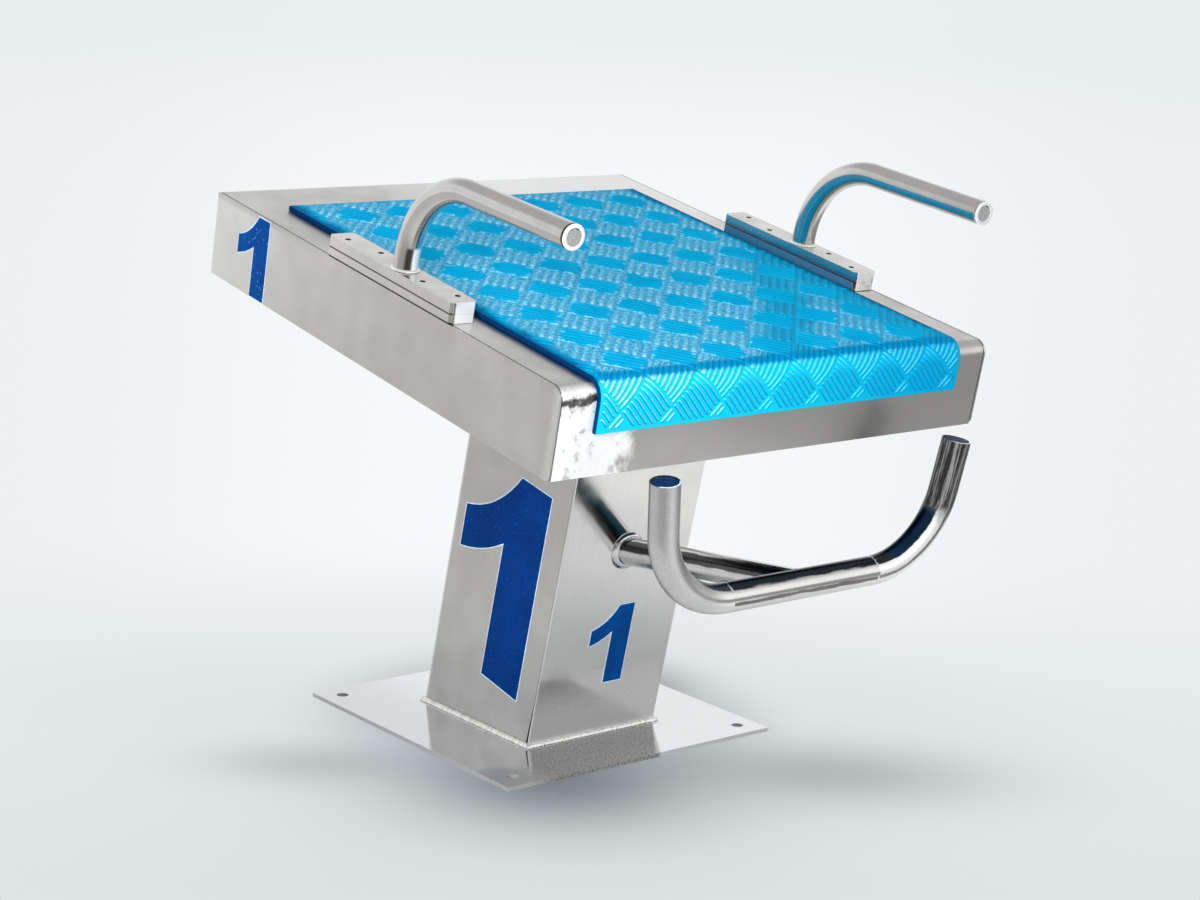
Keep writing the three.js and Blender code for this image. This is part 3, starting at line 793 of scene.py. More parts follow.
class SteelCoat(Recipe):
    """A steel finish in the making, with the dress of each kind of piece."""

    def __init__(self, steel: "GroundSteel") -> None:
        """Lays down the ground metal of a steel.

        Args:
            steel: the steel's looks.
        """
        super().__init__(steel.name, steel.course)
        self.steel = steel
        tint, even = steel.tint, steel.roughness
        self.streak = self.noise(steel.grain, detail=5, rough=0.62)
        self.broad = self.noise(6, detail=2)
        self.cloud = self.noise(24, detail=5, rough=0.6)
        self.scratch = self._scratches()
        low, high = shade(tint, 1 - steel.spread), shade(tint, 1 + steel.spread)
        self.colour = self.blend(self.streak.grows(0.3, 0.7), low, high)
        for noise, share in ((self.broad, steel.clouds), (self.cloud, steel.clouds * 0.5)):
            self.colour = self.blend(noise.grows(0.35, 0.65, share), self.colour, shade(tint, 0.25))
        smudged = self.cloud.grows(0.35, 0.7, steel.smudge)
        self.rough = self.streak.remap(0.3, 0.7, even * 0.9, even * 1.1) + smudged + self.scratch * 0.1
        self.metal: Signal | float = 1.0
        self.colour = self.blend(self.edges(1.2) * 0.5, self.colour, shade(tint, 1.2))

    def finish(self) -> bpy.types.Material:
        """Dresses the steel's own places, raises its grain and returns the material."""
        if self.steel.places is not Places.NONE:
            getattr(self, f"dress_{self.steel.places.value}")()
        normal = self.bump(self.broad, self.steel.waviness)
        normal = self.bump(self.streak, self.steel.grain_depth, normal)
        normal = self.bump(1.0 - self.scratch, 0.006, normal)
        self.set(Base_Color=self.colour, Metallic=self.metal, Roughness=self.rough, Normal=normal)
        return self.material

    def paint(
        self, share: Signal, tone: Tone, rough: float | None = None, metal: float | None = None
    ) -> None:
        """Lays a finish over a share of the surface.

        Args:
            share: where it lies, from 0 to 1.
            tone: its colour.
            rough: its roughness, or none to leave that as it is.
            metal: its share of bare metal, or none to leave that as it is.
        """
        self.colour = self.blend(share, self.colour, tone.value)
        if rough is not None:
            self.rough = self.rough + share * (rough - self.rough)
        if metal is not None:
            self.metal = self.metal + share * (metal - self.metal)

    def reach(self) -> Signal:
        """Returns the distance from the straightened place's own axis, in metres."""
        return self.x.beside(self.y)

    def dress_frame(self) -> None:
        """Dresses the frame: painted shade on its front, painted light on its rear and deck, a painted
        highlight on its front corner, painted shade in its seams and inside, and a painted reflection of the
        tread.
        """
        across = abs(self.x)
        depth = self.y - PLATFORM_FACE
        level = self.z - PLATFORM_LEVEL
        front = depth.falls(0.002, 0.014)
        self.paint(front * 0.08, Tone.SHADED_FRONT)
        # Painted light: the frame's rear, below the deck's top, is painted paler.
        rear = depth.grows(0.40, 0.64, 0.55) * level.falls(0.088, 0.095)
        self.paint(rear, Tone.PALE_REAR)
        glare = depth.grows(0.38, 0.52) * self.x.grows(-0.13, 0.10) * level.grows(0.0955, 0.0965, 0.97)
        self.paint(glare, Tone.GLARE, 0.4, 0.1)
        # Painted highlight: the front of the left corner is painted white, broken up by flecks, with a greyer
        # rim along the side plate's edge.
        edge = self.x + self.cloud * 0.14
        polished = edge.falls(-0.150, -0.128) * front
        rim = polished * across.grows(0.2966, 0.2972, 0.8)
        polished = polished * across.falls(0.2966, 0.2972)
        fleck = self.noise(70, detail=4, rough=0.7).remap(0.56, 0.66, 1, 0.45)
        grains = self.noise(230, detail=3).remap(0.63, 0.70, 1, 0.55)
        fleck = fleck * grains
        self.paint(polished * fleck, Tone.BURNISHED, 0.4, 0.3)
        self.paint(rim, Tone.CORNER_RIM, 0.4, 0.4)
        # Painted reflection: a dark, ragged band across the painted highlight, along the foot of the bend.
        ragged = self.noise(75, detail=3).remap(0.3, 0.7, -0.0028, 0.0028)
        band = (level + ragged).near(0.0830, 0.0058)
        smudge = band * polished * fleck
        self.paint(smudge * 0.9, Tone.SMUDGE, 0.3, 1.0)
        # Painted shade: a dark line in the gap between the deck and each side plate.
        outside = level.grows(0.090, 0.092).at_least(depth.falls(0.001, 0.003))
        seam = across.near(0.29665, 0.0011) * outside
        self.paint(seam * 0.85, Tone.SEAM, 0.5)
        # Painted shade: the frame's inside, below the deck and within its plates, is painted dark.
        inward = (0.015 - depth).at_least(0.0)
        upward = (level - 0.082).at_least(0.0)
        inside = inward.beside(upward).falls(0.0121, 0.0128)
        inside = inside * across.falls(0.2984, 0.2990) * depth.falls(0.6635, 0.6642)
        self.paint(inside, Tone.INSIDE, 0.5)
        # Painted reflection: the deck's underside below the tread is painted teal, like the tread's blue
        # reflected.
        under = across.falls(0.246, 0.25) * level.grows(0.088, 0.09)
        self.paint(inside * under, Tone.BELOW_TREAD, 0.45)

    def dress_grip(self) -> None:
        """Dresses a grip's plates with painted shade in the joints between them, a painted reflection of the
        tread and a painted highlight and shade on their end.
        """
        level = self.z - PLATFORM_LEVEL
        # Painted shade: dark lines in the joints between the pad and the plate.
        for joint, half_width in ((0.0975, 0.0011), (0.1074, 0.0012)):
            line = level.near(joint, half_width)
            self.paint(line * 0.8, Tone.JOINT, 0.5)
        # Painted reflection: the tread's blue on the plates' inner face.
        inner = self.x.falls(0.2664, 0.2668) * self.x.grows(0.2, 0.21) * level.falls(0.1060, 0.1075, 0.95)
        self.paint(inner, Tone.BESIDE_TREAD, 0.3, 0.0)
        # Painted highlight: the plates' front end is painted white in clouds.
        depth = self.y - PLATFORM_FACE
        front = self.x.remap(-0.01, 0.01, 0.1936, 0.1856)
        end = (depth - front).falls(0.0, 0.0006)
        white = end * self.cloud.remap(0.40, 0.50, 0.4, 1)
        self.paint(white, Tone.BURNISHED, 0.3, 0.3)
        # Painted shade: a dark line down the outer edge of the left plates' end.
        stripe = end * self.x.near(-0.2962, 0.0034)
        self.paint(stripe * 0.9, Tone.SEAM, 0.3)

    def dress_screw(self) -> None:
        """Dresses a screw with painted shade in its socket and a painted highlight on its rim."""
        reach = self.reach()
        # Painted highlight on the head's rim and painted shade in the socket.
        self.paint(reach.grows(0.0044, 0.0048), Tone.SCREW_RIM, 0.2)
        self.paint(reach.falls(0.0030, 0.0034), Tone.SOCKET, 0.6)

    def dress_cap(self) -> None:
        """Dresses a cap with a painted highlight on its rim, painted shade in its groove and a mottled
        middle.
        """
        # Painted highlight on the rim.
        rim = self.reach().grows(0.0090, 0.0096)
        self.paint(rim, Tone.BRIGHT, 0.3, 0.35)
        # Painted shade in the groove, broken up.
        groove = self.reach().near(0.0086, 0.0009)
        broken = self.noise(130, detail=2).remap(0.36, 0.52, 0.95, 0.1)
        self.paint(groove * broken, Tone.DARK, 0.5)
        middle = self.reach().falls(0.0078, 0.0084)
        mottle = self.noise(420, detail=4).remap(0.44, 0.54, 0.1, 0.95)
        self.paint(middle * mottle, Tone.MOTTLED, 0.45, 0.4)

    def dress_tip(self) -> None:
        """Dresses the satin arm: duller, with painted shade on the inside of its bend and a painted dark line
        along its edge.
        """
        inner = 0.0 - self.y
        dull = self.z.grows(0.002, 0.040)
        even = inner.grows(-0.0120, -0.0020) * inner.falls(-0.001, 0.004) * dull
        self.paint(1.0 - dull, Tone.POLISHED, 0.10)
        self.paint(even * 0.45, Tone.DULL, 0.4, 0.5)
        grit = self.noise((700, 700, 500), detail=3).grows(0.50, 0.65, 0.34)
        self.paint(grit * dull, Tone.GRIT)
        # Painted shade along the inner side.
        shady = inner.grows(0.0015, 0.0100, 0.60) * dull
        self.paint(shady, Tone.SHADY, 0.35)
        # A painted dark reflection along the tube's edge.
        edge = self.x.grows(0.001, 0.006) * inner.falls(-0.004, 0)
        self.paint(edge * 0.8, Tone.EDGE, 0.3)
        # Painted shade in a wedge on the inside of the bend.
        wedge = inner - self.z.grows(0.0, 0.11, 0.0040)
        self.paint(wedge.grows(0.0112, 0.0124, 0.9), Tone.WEDGE, 0.25)
        self.dress_end()

    def dress_end(self) -> None:
        """Dresses the ring at an arm's end with a painted dark reflection and a painted highlight on its
        front.
        """
        # Painted dark reflection on the ring, with a painted highlight on its front.
        ring = self.z.grows(0.19370, 0.19395)
        self.paint(ring, Tone.RING, 0.3)
        front = ring * self.x.falls(-0.009, -0.005)
        self.paint(front, Tone.BRIGHT, 0.3, 0.3)

    def dress_bar(self) -> None:
        """Dresses the bar's middle with a painted dark reflection along its top and a painted dark line
        below.
        """
        # Painted reflection: a ragged dark band along the top.
        shift = self.noise((90, 90, 25), detail=4).remap(0.3, 0.7, -0.0009, 0.0009)
        broken = self.x + shift
        self.paint(broken.grows(0.0110, 0.0126, 0.97), Tone.TARNISH, 0.2)
        # A painted dark reflected line below it.
        line = broken.near(-0.0014, 0.0030)
        self.paint(line * 0.95, Tone.BAR_LINE, 0.2)

    def dress_arm(self) -> None:
        """Dresses the arm with a painted highlight and painted reflections in its bend, and a darker grey
        with dark streaks along its straight end.
        """
        inner = self.y + self.cloud.remap(0.3, 0.7, -0.0006, 0.0006)
        length = self.z
        bend = (length + self.cloud.remap(0.3, 0.7, -0.008, 0.008)).falls(0.098, 0.122)
        # Painted highlight in the bend.
        white = inner.grows(0.0002, 0.0014) * bend
        self.paint(white * 0.8, Tone.HAZE, 0.3, 0.3)
        # A painted dark reflected line.
        line = inner.near(-0.0014, 0.0026) * 0.75
        self.paint(line, Tone.ARM_LINE, 0.2)
        # Painted reflection: navy on the inside of the bend, painted darker near the foot.
        navy = inner.grows(0.0108, 0.0118, 0.985)
        self.paint(navy, Tone.NAVY, 0.2, 1.0)
        foot = navy * length.falls(0.018, 0.034)
        self.paint(foot, Tone.DARK, 0.3)
        # The straight end is darker grey, with dark streaks.
        straight = 1.0 - bend
        self.paint(straight * 0.88, Tone.DRAWN, 0.4, 0.3)
        streaks = self.noise((330, 330, 14), detail=4, rough=0.7)
        share = straight * streaks.remap(0.47, 0.57, 0.97, 0.05)
        self.paint(share, Tone.MARKS, 0.25, 0.6)
        self.dress_end()

    def dress_foot(self) -> None:
        """Dresses a grip's tube: a painted dark reflection and a painted highlight in stripes by the weld,
        and painted shade in a line by the cap.
        """
        # Painted reflection and highlight: a dark and a bright stripe by the weld.
        low = self.z.falls(0.026, 0.031)
        facing = low * self.y.falls(-0.004, -0.002)
        dark = facing * self.x.near(-0.0060, 0.0046)
        self.paint(dark * 0.95, Tone.WELD_STRIPE, 0.3)
        bright = facing * self.x.grows(-0.0022, -0.0012)
        self.paint(bright, Tone.BRIGHT, 0.3, 0.3)
        # Painted shade: a dark line in the gap by the cap.
        end = self.z.grows(0.3312, 0.3318) * self.x.falls(0.0, 0.004, 0.9)
        self.paint(end, Tone.END_LINE, 0.4)

    def dress_face(self) -> None:
        """Dresses the column's front with a painted reflection over its foot, a duller grey."""
        # Painted reflection: the foot is painted a duller grey.
        low = self.z.falls(0.050, 0.115, 0.8)
        self.paint(low, Tone.DULL_FOOT, 0.35, 0.3)

    def dress_support(self) -> None:
        """Dresses the bar's support with a painted dark reflection along its upper side."""
        # Painted reflection: a dark band along the upper side.
        level = self.cloud.remap(0.3, 0.7, -0.0008, 0.0008) - self.y
        dark = level.grows(0.0020, 0.0045) * level.falls(0.0132, 0.0142, 0.92)
        self.paint(dark, Tone.UPPER_SIDE, 0.2)

    def dress_base(self) -> None:
        """Dresses the base plate with painted reflections: darker on its left, the column's front along its
        front edge and a grey spot by a corner.
        """
        # Painted reflection: the left is painted darker.
        self.paint(self.x.falls(-0.17, -0.02, 0.6), Tone.DULL_LEFT)
        # Painted reflection of the column's front, mottled, along the front edge.
        reflection_mottle = self.noise(420, detail=4, rough=0.7).remap(0.42, 0.58, 0.5, 1)
        below = (self.y + 0.104) * 0.69
        width = abs(self.x - below)
        place = width.falls(0.088, 0.094, 0.88) * self.y.falls(-0.112, -0.106)
        self.paint(reflection_mottle * place, Tone.SMEAR, 0.12)
        # Painted reflection: a grey, less metallic spot round the corner's anchor hole.
        away = (self.x + 0.178).beside(self.y + 0.186)
        self.paint(away.falls(0.022, 0.062, 0.9), Tone.CORNER_SPOT, 0.5, 0.10)

    def _scratches(self) -> Signal:
        """Returns a few fine stray scratches."""
        lines = []
        for turn in ((17, 31, 24), (-38, 12, -52)):
            field_noise = self.noise((9, 160, 160), detail=1, turn=turn)
            offset = abs(field_noise - 0.5)
            lines.append(offset.falls(0.0, 0.006))
        patch = self.noise(11, detail=2, turn=(5, 60, 9)).grows(0.55, 0.68)
        return lines[0].at_least(lines[1]) * patch


@dataclass(frozen=True)
class GroundSteel:
    """Stainless steel that is ground or polished in one direction."""

    name: str
    course: Course
    tint: Colour
    roughness: float
    grain: Triple | float
    grain_depth: float = 0.005
    waviness: float = 0.2
    smudge: float = 0.08
    spread: float = 0.025
    clouds: float = 0.10
    places: Places = Places.NONE

    def material(self) -> bpy.types.Material:
        """Makes the steel's material."""
        return SteelCoat(self).finish()


@dataclass(frozen=True)
class WeldSteel:
    """The bright, slightly heat-tinted metal of a weld."""

    name: str = "weld_steel"
    tint: Colour = (0.93, 0.925, 0.91)
    straw: Colour = (0.62, 0.57, 0.50)
    dirt: Colour = (0.3, 0.3, 0.31)

    def material(self) -> bpy.types.Material:
        """Makes the weld's material."""
        recipe = Recipe(self.name, Course.LEVEL)
        grit = recipe.noise(420, detail=4)
        heat = recipe.noise(38, detail=3)
        colour = recipe.blend(heat.grows(0.52, 0.75, 0.7), self.tint, self.straw)
        colour = recipe.blend(grit.grows(0.55, 0.75, 0.4), colour, self.dirt)
        rough = grit.remap(0.3, 0.7, 0.14, 0.42)
        recipe.set(Base_Color=colour, Metallic=0.65, Roughness=rough, Normal=recipe.bump(grit, 0.18))
        return recipe.material


class TreadPlastic(Recipe):
    """Moulded blue plastic, with a painted paler sheen and glints on half of its diamonds, painted light and
    shade on its apron, and dark on its sides.
    """

    deep: Colour = (0.002, 0.335, 0.62)
    light: Colour = (0.003, 0.395, 0.69)
    sheen_blue: Colour = (0.080, 0.51, 0.80)
    glint: Colour = (0.38, 0.72, 0.91)
    groove: Colour = (0.001, 0.23, 0.49)
    # Painted light: the apron is a lighter blue than the top, as lit from the front, and shaded towards its
    # right end.
    apron: Colour = (0.007, 0.61, 0.85)
    apron_shaded_right: Colour = (0.002, 0.44, 0.78)
    crest: Colour = (0.46, 0.90, 0.97)
    fold: Colour = (0.001, 0.25, 0.54)
    rolled: Colour = (0.001, 0.10, 0.27)
    side: Colour = (0.002, 0.035, 0.13)
    half_width: float = 0.2525
    first: Pair = (0.0064, 0.0400)
    pitch: Pair = (0.0663, 0.0710)

    def __init__(self) -> None:
        """Makes the marks that its colours follow."""
        super().__init__("tread_plastic", Course.PLATFORM)
        self.raised = self.take("ShaderNodeAttribute", "Fac", attribute_name="lift")
        self.blotch = self.noise(24, detail=4)
        self.speck = self.noise(270, detail=2)
        self.depth = self.y - PLATFORM_FACE

    def finish(self) -> bpy.types.Material:
        """Returns the tread's material."""
        fine = self.noise(900, detail=3)
        colour = self.blend(self.depth.grows(0.0010, 0.0050), self._apron(), self._top())
        # The sides are painted a dark navy.
        cut = abs(self.x).grows(self.half_width, self.half_width + 0.0012)
        colour = self.blend(cut, colour, self.side)
        normal = self.bump(fine, 0.03, self.bump(self.blotch, 0.12))
        rough = fine.remap(0.3, 0.7, 0.30, 0.42)
        self.set(Base_Color=colour, Roughness=rough, Normal=normal, IOR=1.03)
        return self.material

    def _top(self) -> Signal:
        """Returns the colour of the tread's top."""
        ends = self.take("ShaderNodeAttribute", "Fac", attribute_name="pale")
        border = abs(self.x) + self.blotch.remap(0.3, 0.7, -0.004, 0.004)
        # Painted sheen: a paler blue on the ribs of all but every other diamond.
        sheen = self._sheen_share() * border.falls(0.234, 0.241) * self.depth.grows(0.013, 0.020)
        # Painted shade between the ribs, with random dark specks, inside the painted sheen.
        gaps = self.raised.falls(0.0, 0.30, 0.35) + self.speck.falls(0.32, 0.46, 0.55)
        dots = self.speck.grows(0.49, 0.62) * sheen * self.x.remap(-0.05, 0.22, 1, 0.75)
        colour = self.blend(self.blotch.grows(0.3, 0.7), self.deep, self.light)
        for share, other in (
            # Painted shade: a darker blue over the upper half of the fold.
            (self.depth.falls(0.012, 0.022, 0.75), self.fold),
            (sheen, self.sheen_blue),
            (sheen * gaps, self.groove),
            # Painted glints: pale dots on the ribs' crests, stronger on the left, and at their ends.
            (dots * self.raised.remap(0.2, 0.9, 0.35, 0.85), self.glint),
            (ends * sheen * self.speck.grows(0.3, 0.45), self.glint),
            # A darker blue along the top near both side edges.
            (border.grows(0.240, 0.251, 0.85) * self.depth.grows(0.02, 0.05), self.rolled),
        ):
            colour = self.blend(share, colour, other)
        return colour

    def _apron(self) -> Signal:
        """Returns the colour of the apron, with painted shade below its ribs and painted light on their upper
        sides.
        """
        # Painted light and shade on the ribs by which way they face, stronger on the left and in a band at
        # the fold's foot.
        rise = self.normal().along((0, 0, 1))
        on_rib = self.raised.grows(0.02, 0.12)
        low = (self.z - PLATFORM_LEVEL).falls(0.082, 0.0821, 0.02)
        bright = (self.depth + low).near(-0.0015, 0.0040)
        strength = self.x.remap(-0.26, 0.02, 0.95, 0.18).at_least(bright * 0.22)
        glow = on_rib * rise.grows(-0.12, 0.10) * strength * self.speck.remap(0.35, 0.6, 0.3, 1)
        # Painted light across the apron: lighter on the left, painted shade towards the right.
        colour = self.blend(self.x.grows(-0.05, 0.24), self.apron, self.apron_shaded_right)
        colour = self.blend(on_rib * rise.falls(-0.42, -0.22, 0.85), colour, self.groove)
        return self.blend(glow, colour, self.crest)

    def _sheen_share(self) -> Signal:
        """Returns 1 where a paler sheen is painted on the ribs: all but every other diamond and a band left
        unlit.
        """
        across, along = (
            ((source - first) / pitch).from_whole() * 2.0
            for source, first, pitch in zip((self.x, self.depth), self.first, self.pitch)
        )
        ragged = self.noise(85, detail=3).remap(0.3, 0.7, -0.16, 0.16)
        size = (across + along) * 0.55 + across.beside(along) * 0.6 + ragged
        from_unlit = (self.x - 0.058) * 0.795 + (self.depth - 0.070) * -0.606
        from_unlit = from_unlit + self.blotch.remap(0.3, 0.7, -0.014, 0.014)
        unlit_band = from_unlit.grows(-0.045, -0.015) * from_unlit.remap(0.022, 0.048, 1, 0.35)
        edge = self.x.grows(0.175, 0.215) * self.depth.falls(0.26, 0.36)
        return size.grows(0.82, 0.98) * (1.0 - unlit_band.at_least(edge) * 0.95)


@dataclass(frozen=True)
class NumberFilm:
    """Vinyl film with a faint pale speckle."""

    name: str
    tint: Colour
    speckle: Colour
    speckle_share: float = 0.5
    course: Course = Course.COLUMN

    def material(self) -> bpy.types.Material:
        """Makes the film's material."""
        recipe = Recipe(self.name, self.course)
        peel = recipe.noise(260, detail=2)
        broad = recipe.noise(18, detail=3)
        dots = recipe.take("ShaderNodeTexVoronoi", "Distance", Vector=recipe.place, Scale=165)
        spot = dots.falls(0.1, 0.3) * peel.grows(0.45, 0.6) * self.speckle_share
        colour = recipe.blend(broad.grows(0.3, 0.7), shade(self.tint, 0.85), shade(self.tint, 1.15))
        colour = recipe.blend(spot, colour, self.speckle)
        rough = peel.remap(0.3, 0.7, 0.4, 0.55)
        recipe.set(Base_Color=colour, Roughness=rough, Normal=recipe.bump(peel, 0.02), IOR=1.1)
        return recipe.material


@dataclass(frozen=True)
class PlugPlastic:
    """Dark blue moulded plastic of the bar's end plugs."""

    name: str = "plug_plastic"
    tint: Colour = (0.001, 0.012, 0.065)
    rubbed: Colour = (0.02, 0.07, 0.22)

    def material(self) -> bpy.types.Material:
        """Makes the plug's material."""
        recipe = Recipe(self.name, Course.TUBE)
        grain = recipe.noise(900, detail=3)
        cloud = recipe.noise(90, detail=2)
        colour = recipe.blend(cloud.grows(0.3, 0.7), shade(self.tint, 0.8), shade(self.tint, 1.3))
        colour = recipe.blend(recipe.edges(0.8) * 0.4, colour, self.rubbed)
        rough = grain.remap(0.3, 0.7, 0.3, 0.45)
        recipe.set(Base_Color=colour, Roughness=rough, Normal=recipe.bump(grain, 0.02), IOR=1.2)
        return recipe.material


@dataclass(frozen=True)
class SoftShade:
    """A soft painted shadow on the floor, along and across the camera's direction, in metres."""

    depth: float
    behind: float
    beside: float
    length: float
    width: float


class StageFloor(Recipe):
    """The studio's pale floor: it takes the shadow near the block and fades into the backdrop."""

    front: Colour = (0.70, 0.75, 0.765)
    near: Colour = (0.765, 0.81, 0.825)
    bright: Colour = (0.925, 0.94, 0.95)
    far: Colour = (0.82, 0.86, 0.875)
    sides: Colour = (0.77, 0.81, 0.825)
    dust: Colour = (0.7, 0.72, 0.73)
    shadow: Colour = (0.02, 0.045, 0.06)
    backwards: Triple = (0.6293, 0.7772, 0)
    rightwards: Triple = (0.7772, -0.6293, 0)
    eye_distance: float = 2.854
    shades: tuple[SoftShade, ...] = (
        SoftShade(0.27, -0.206, -0.249, 0.068, 0.112),
        SoftShade(0.39, -0.175, 0.335, 0.102, 0.187),
        SoftShade(0.70, -0.246, 0.025, 0.149, 0.174),
    )

    def __init__(self) -> None:
        """Measures the floor's places along and across the camera's direction."""
        super().__init__("studio_floor", Course.LEVEL)
        self.behind = self.place.along(self.backwards)
        self.beside = self.place.along(self.rightwards)

    def finish(self) -> bpy.types.Material:
        """Returns the floor's material."""
        reach = self.take("ShaderNodeVectorMath", "Value", self.place, operation="LENGTH")
        seen, mirrored = self.mirror_rays()
        colour = self.blend(mirrored, self._seen(), self._mirrored())
        self.set(Base_Color=colour, Roughness=0.7, Specular_IOR_Level=0.1)
        to_eye = seen * (reach.grows(0.12, 0.34, 0.88) + reach.grows(0.40, 0.80, 0.12))
        share = to_eye.at_least(mirrored * reach.grows(0.25, 0.50))
        lit = Signal(self, self.shader.outputs[0])
        backdrop = self.take("ShaderNodeEmission", 0, colour)
        mixed = self.take("ShaderNodeMixShader", 0, share, lit, backdrop)
        self.feed(self.output.inputs["Surface"], mixed)
        return self.material

    def _seen(self) -> Signal:
        """Returns the colour that the floor shows to the eye, with the shade below the block."""
        behind, beside = self.behind, self.beside
        spread = abs(beside) / (behind + self.eye_distance).at_least(1.0)
        colour = self.blend(behind.grows(-0.6, -0.1), self.front, self.near)
        colour = self.blend(behind.grows(-0.1, 0.9), colour, self.bright)
        colour = self.blend(behind.grows(3, 18), colour, self.far)
        colour = self.blend(spread.grows(0.06, 0.24, 0.5), colour, self.sides)
        # Painted shadow: soft dark spots on the floor below the block.
        for spot in self.shades:
            deep = (behind - spot.behind) / spot.length
            wide = (beside - spot.beside) / spot.width
            fall = (deep * deep + wide * wide).bell()
            colour = self.blend(fall * spot.depth, colour, self.shadow)
        return self.blend(self.noise(60, detail=3).grows(0.3, 0.7, 0.03), colour, self.dust)

    def _mirrored(self) -> Signal:
        """Returns the studio floor's brightness as the metal shows it, beyond the picture too."""
        colour: Value = (0.99, 0.99, 0.99)
        for start, end, other in (
            (-5.5, -3.2, (0.67, 0.665, 0.655)),
            (-1.0, -0.3, (0.79, 0.80, 0.80)),
            (0.48, 0.64, (1.0, 1.0, 1.0)),
            (0.74, 1.15, (0.36, 0.36, 0.36)),
            (2.5, 4.5, (0.55, 0.55, 0.55)),
        ):
            colour = self.blend(self.beside.grows(start, end), colour, other)
        front_left = self.behind.falls(-1.0, -0.72) * self.beside.falls(0.5, 0.8)
        return self.blend(front_left, colour, (0.44, 0.44, 0.435))


class Finishes:
    """All the finishes of the block, made once."""

    def __init__(self) -> None:
        """Makes the materials."""
        platform, column, tube = Course.PLATFORM, Course.COLUMN, Course.TUBE
        along_tube: Triple = (900, 900, 8)
        bright: Colour = (0.76, 0.758, 0.75)
        frame = GroundSteel(
            "satin_frame_steel", platform, (0.70, 0.69, 0.672), 0.30, (900, 6, 900), places=Places.FRAME
        )
        self.frame = frame.material()
        self.frame_rear = replace(frame, name="satin_rear_steel", grain=(6, 900, 900)).material()
        self.grip_plate = replace(
            frame, name="satin_grip_steel", tint=(0.74, 0.73, 0.71), roughness=0.22, places=Places.GRIP
        ).material()
        side = GroundSteel("satin_column_steel", column, (0.635, 0.625, 0.61), 0.32, (900, 900, 6))
        self.column_side = side.material()
        self.column_face = GroundSteel(
            "polished_column_steel", column, bright, 0.11, (700, 700, 9), 0.002, 0.10, 0.10,
            clouds=0.05, places=Places.FACE,
        ).material()
        self.base = GroundSteel(
            "mirror_plate_steel", Course.LEVEL, (0.84, 0.85, 0.855), 0.07, 600, 0.003, 0.05, 0.06,
            spread=0.05, clouds=0.03, places=Places.BASE,
        ).material()
        satin = GroundSteel(
            "satin_tube_plain_steel", tube, (0.68, 0.67, 0.655), 0.17, along_tube, 0.002, 0.05
        )
        self.plain_grip_tube = satin.material()
        self.grip_tube = replace(satin, name="satin_tube_steel", places=Places.FOOT).material()
        polished = GroundSteel("polished_tube_steel", tube, bright, 0.11, along_tube, 0.002, 0.05, 0.06)
        self.tube = polished.material()
        self.support = replace(polished, name="polished_support_steel", places=Places.SUPPORT).material()
        self.streaked_tube = replace(polished, name="marked_tube_steel", places=Places.ARM).material()
        self.bar = replace(
            polished, name="polished_bar_steel", roughness=0.09, places=Places.BAR
        ).material()
        self.satin_arm = replace(
            polished, name="satin_arm_steel", tint=(0.67, 0.67, 0.665), roughness=0.30, places=Places.TIP
        ).material()
        self.cap = GroundSteel(
            "cap_steel", tube, (0.95, 0.95, 0.95), 0.25, 300, waviness=0.02, places=Places.CAP
        ).material()
        self.screw = GroundSteel(
            "screw_steel_bright", tube, (0.60, 0.59, 0.57), 0.24, 400, waviness=0.01, places=Places.SCREW
        ).material()
        self.weld = WeldSteel().material()
        self.tread = TreadPlastic().finish()
        self.plug = PlugPlastic().material()
        film = NumberFilm("number_film_dark", (0.0008, 0.033, 0.185), (0.02, 0.12, 0.36))
        self.column_film = film.material()
        film = NumberFilm("number_film_front", (0.0015, 0.062, 0.27), (0.01, 0.16, 0.42))
        self.front_film = film.material()
        self.frame_film = NumberFilm(
            "number_film_speckled", (0.002, 0.06, 0.28), (0.12, 0.30, 0.60), 0.8, platform
        ).material()
        film = NumberFilm("number_film_edge", (0.62, 0.74, 0.83), (0.8, 0.85, 0.9), 0.2)
        self.film_edge = film.material()


# Sub-assemblies


@dataclass
class SubAssembly:
    """A sub-assembly of the block: it keeps its pieces and reports them."""

    nodes: dict[str, bpy.types.Object]
    finishes: Finishes
    pieces: list[bpy.types.Object] = field(default_factory=list, init=False)

    def keep(
        self, piece: bpy.types.Object, finish: bpy.types.Material, slot: Slot, *stands_for: str
    ) -> None:
        """Dresses a piece, lets it ride and hides the CAD nodes that it stands for.

        Args:
            piece: the object.
            finish: its material.
            slot: the record's slot; not used.
            *stands_for: the CAD nodes that it replaces.
        """
        piece.data.materials.clear()
        piece.data.materials.append(finish)
        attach(piece, "root")
        if stands_for:
            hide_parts(*stands_for)
        self.pieces.append(piece)

    def ease(self, finish: bpy.types.Material, slot: Slot, width: float, *nodes: str) -> None:
        """Replaces CAD nodes by their own shapes with edges eased by a width in millimetres."""
        for node in nodes:
            self.keep(refined(self.nodes[node], f"{node}_eased", width), finish, slot, node)

    def build(self) -> None:
        """Builds the sub-assembly's pieces."""
        raise NotImplementedError

    def report(self) -> None:
        """Logs each piece with its faces."""
        for piece in self.pieces:
            LOG.info("%s: %s, %d faces", type(self).__name__, piece.name, len(piece.data.polygons))


@dataclass
class BasePlate(SubAssembly):
    """The square polished plate on the pool deck."""

    eased: float = 0.7

    def build(self) -> None:
        """Builds the plate with its four anchor holes."""
        self.ease(self.finishes.base, Slot.POLISHED, self.eased, "base_plate")


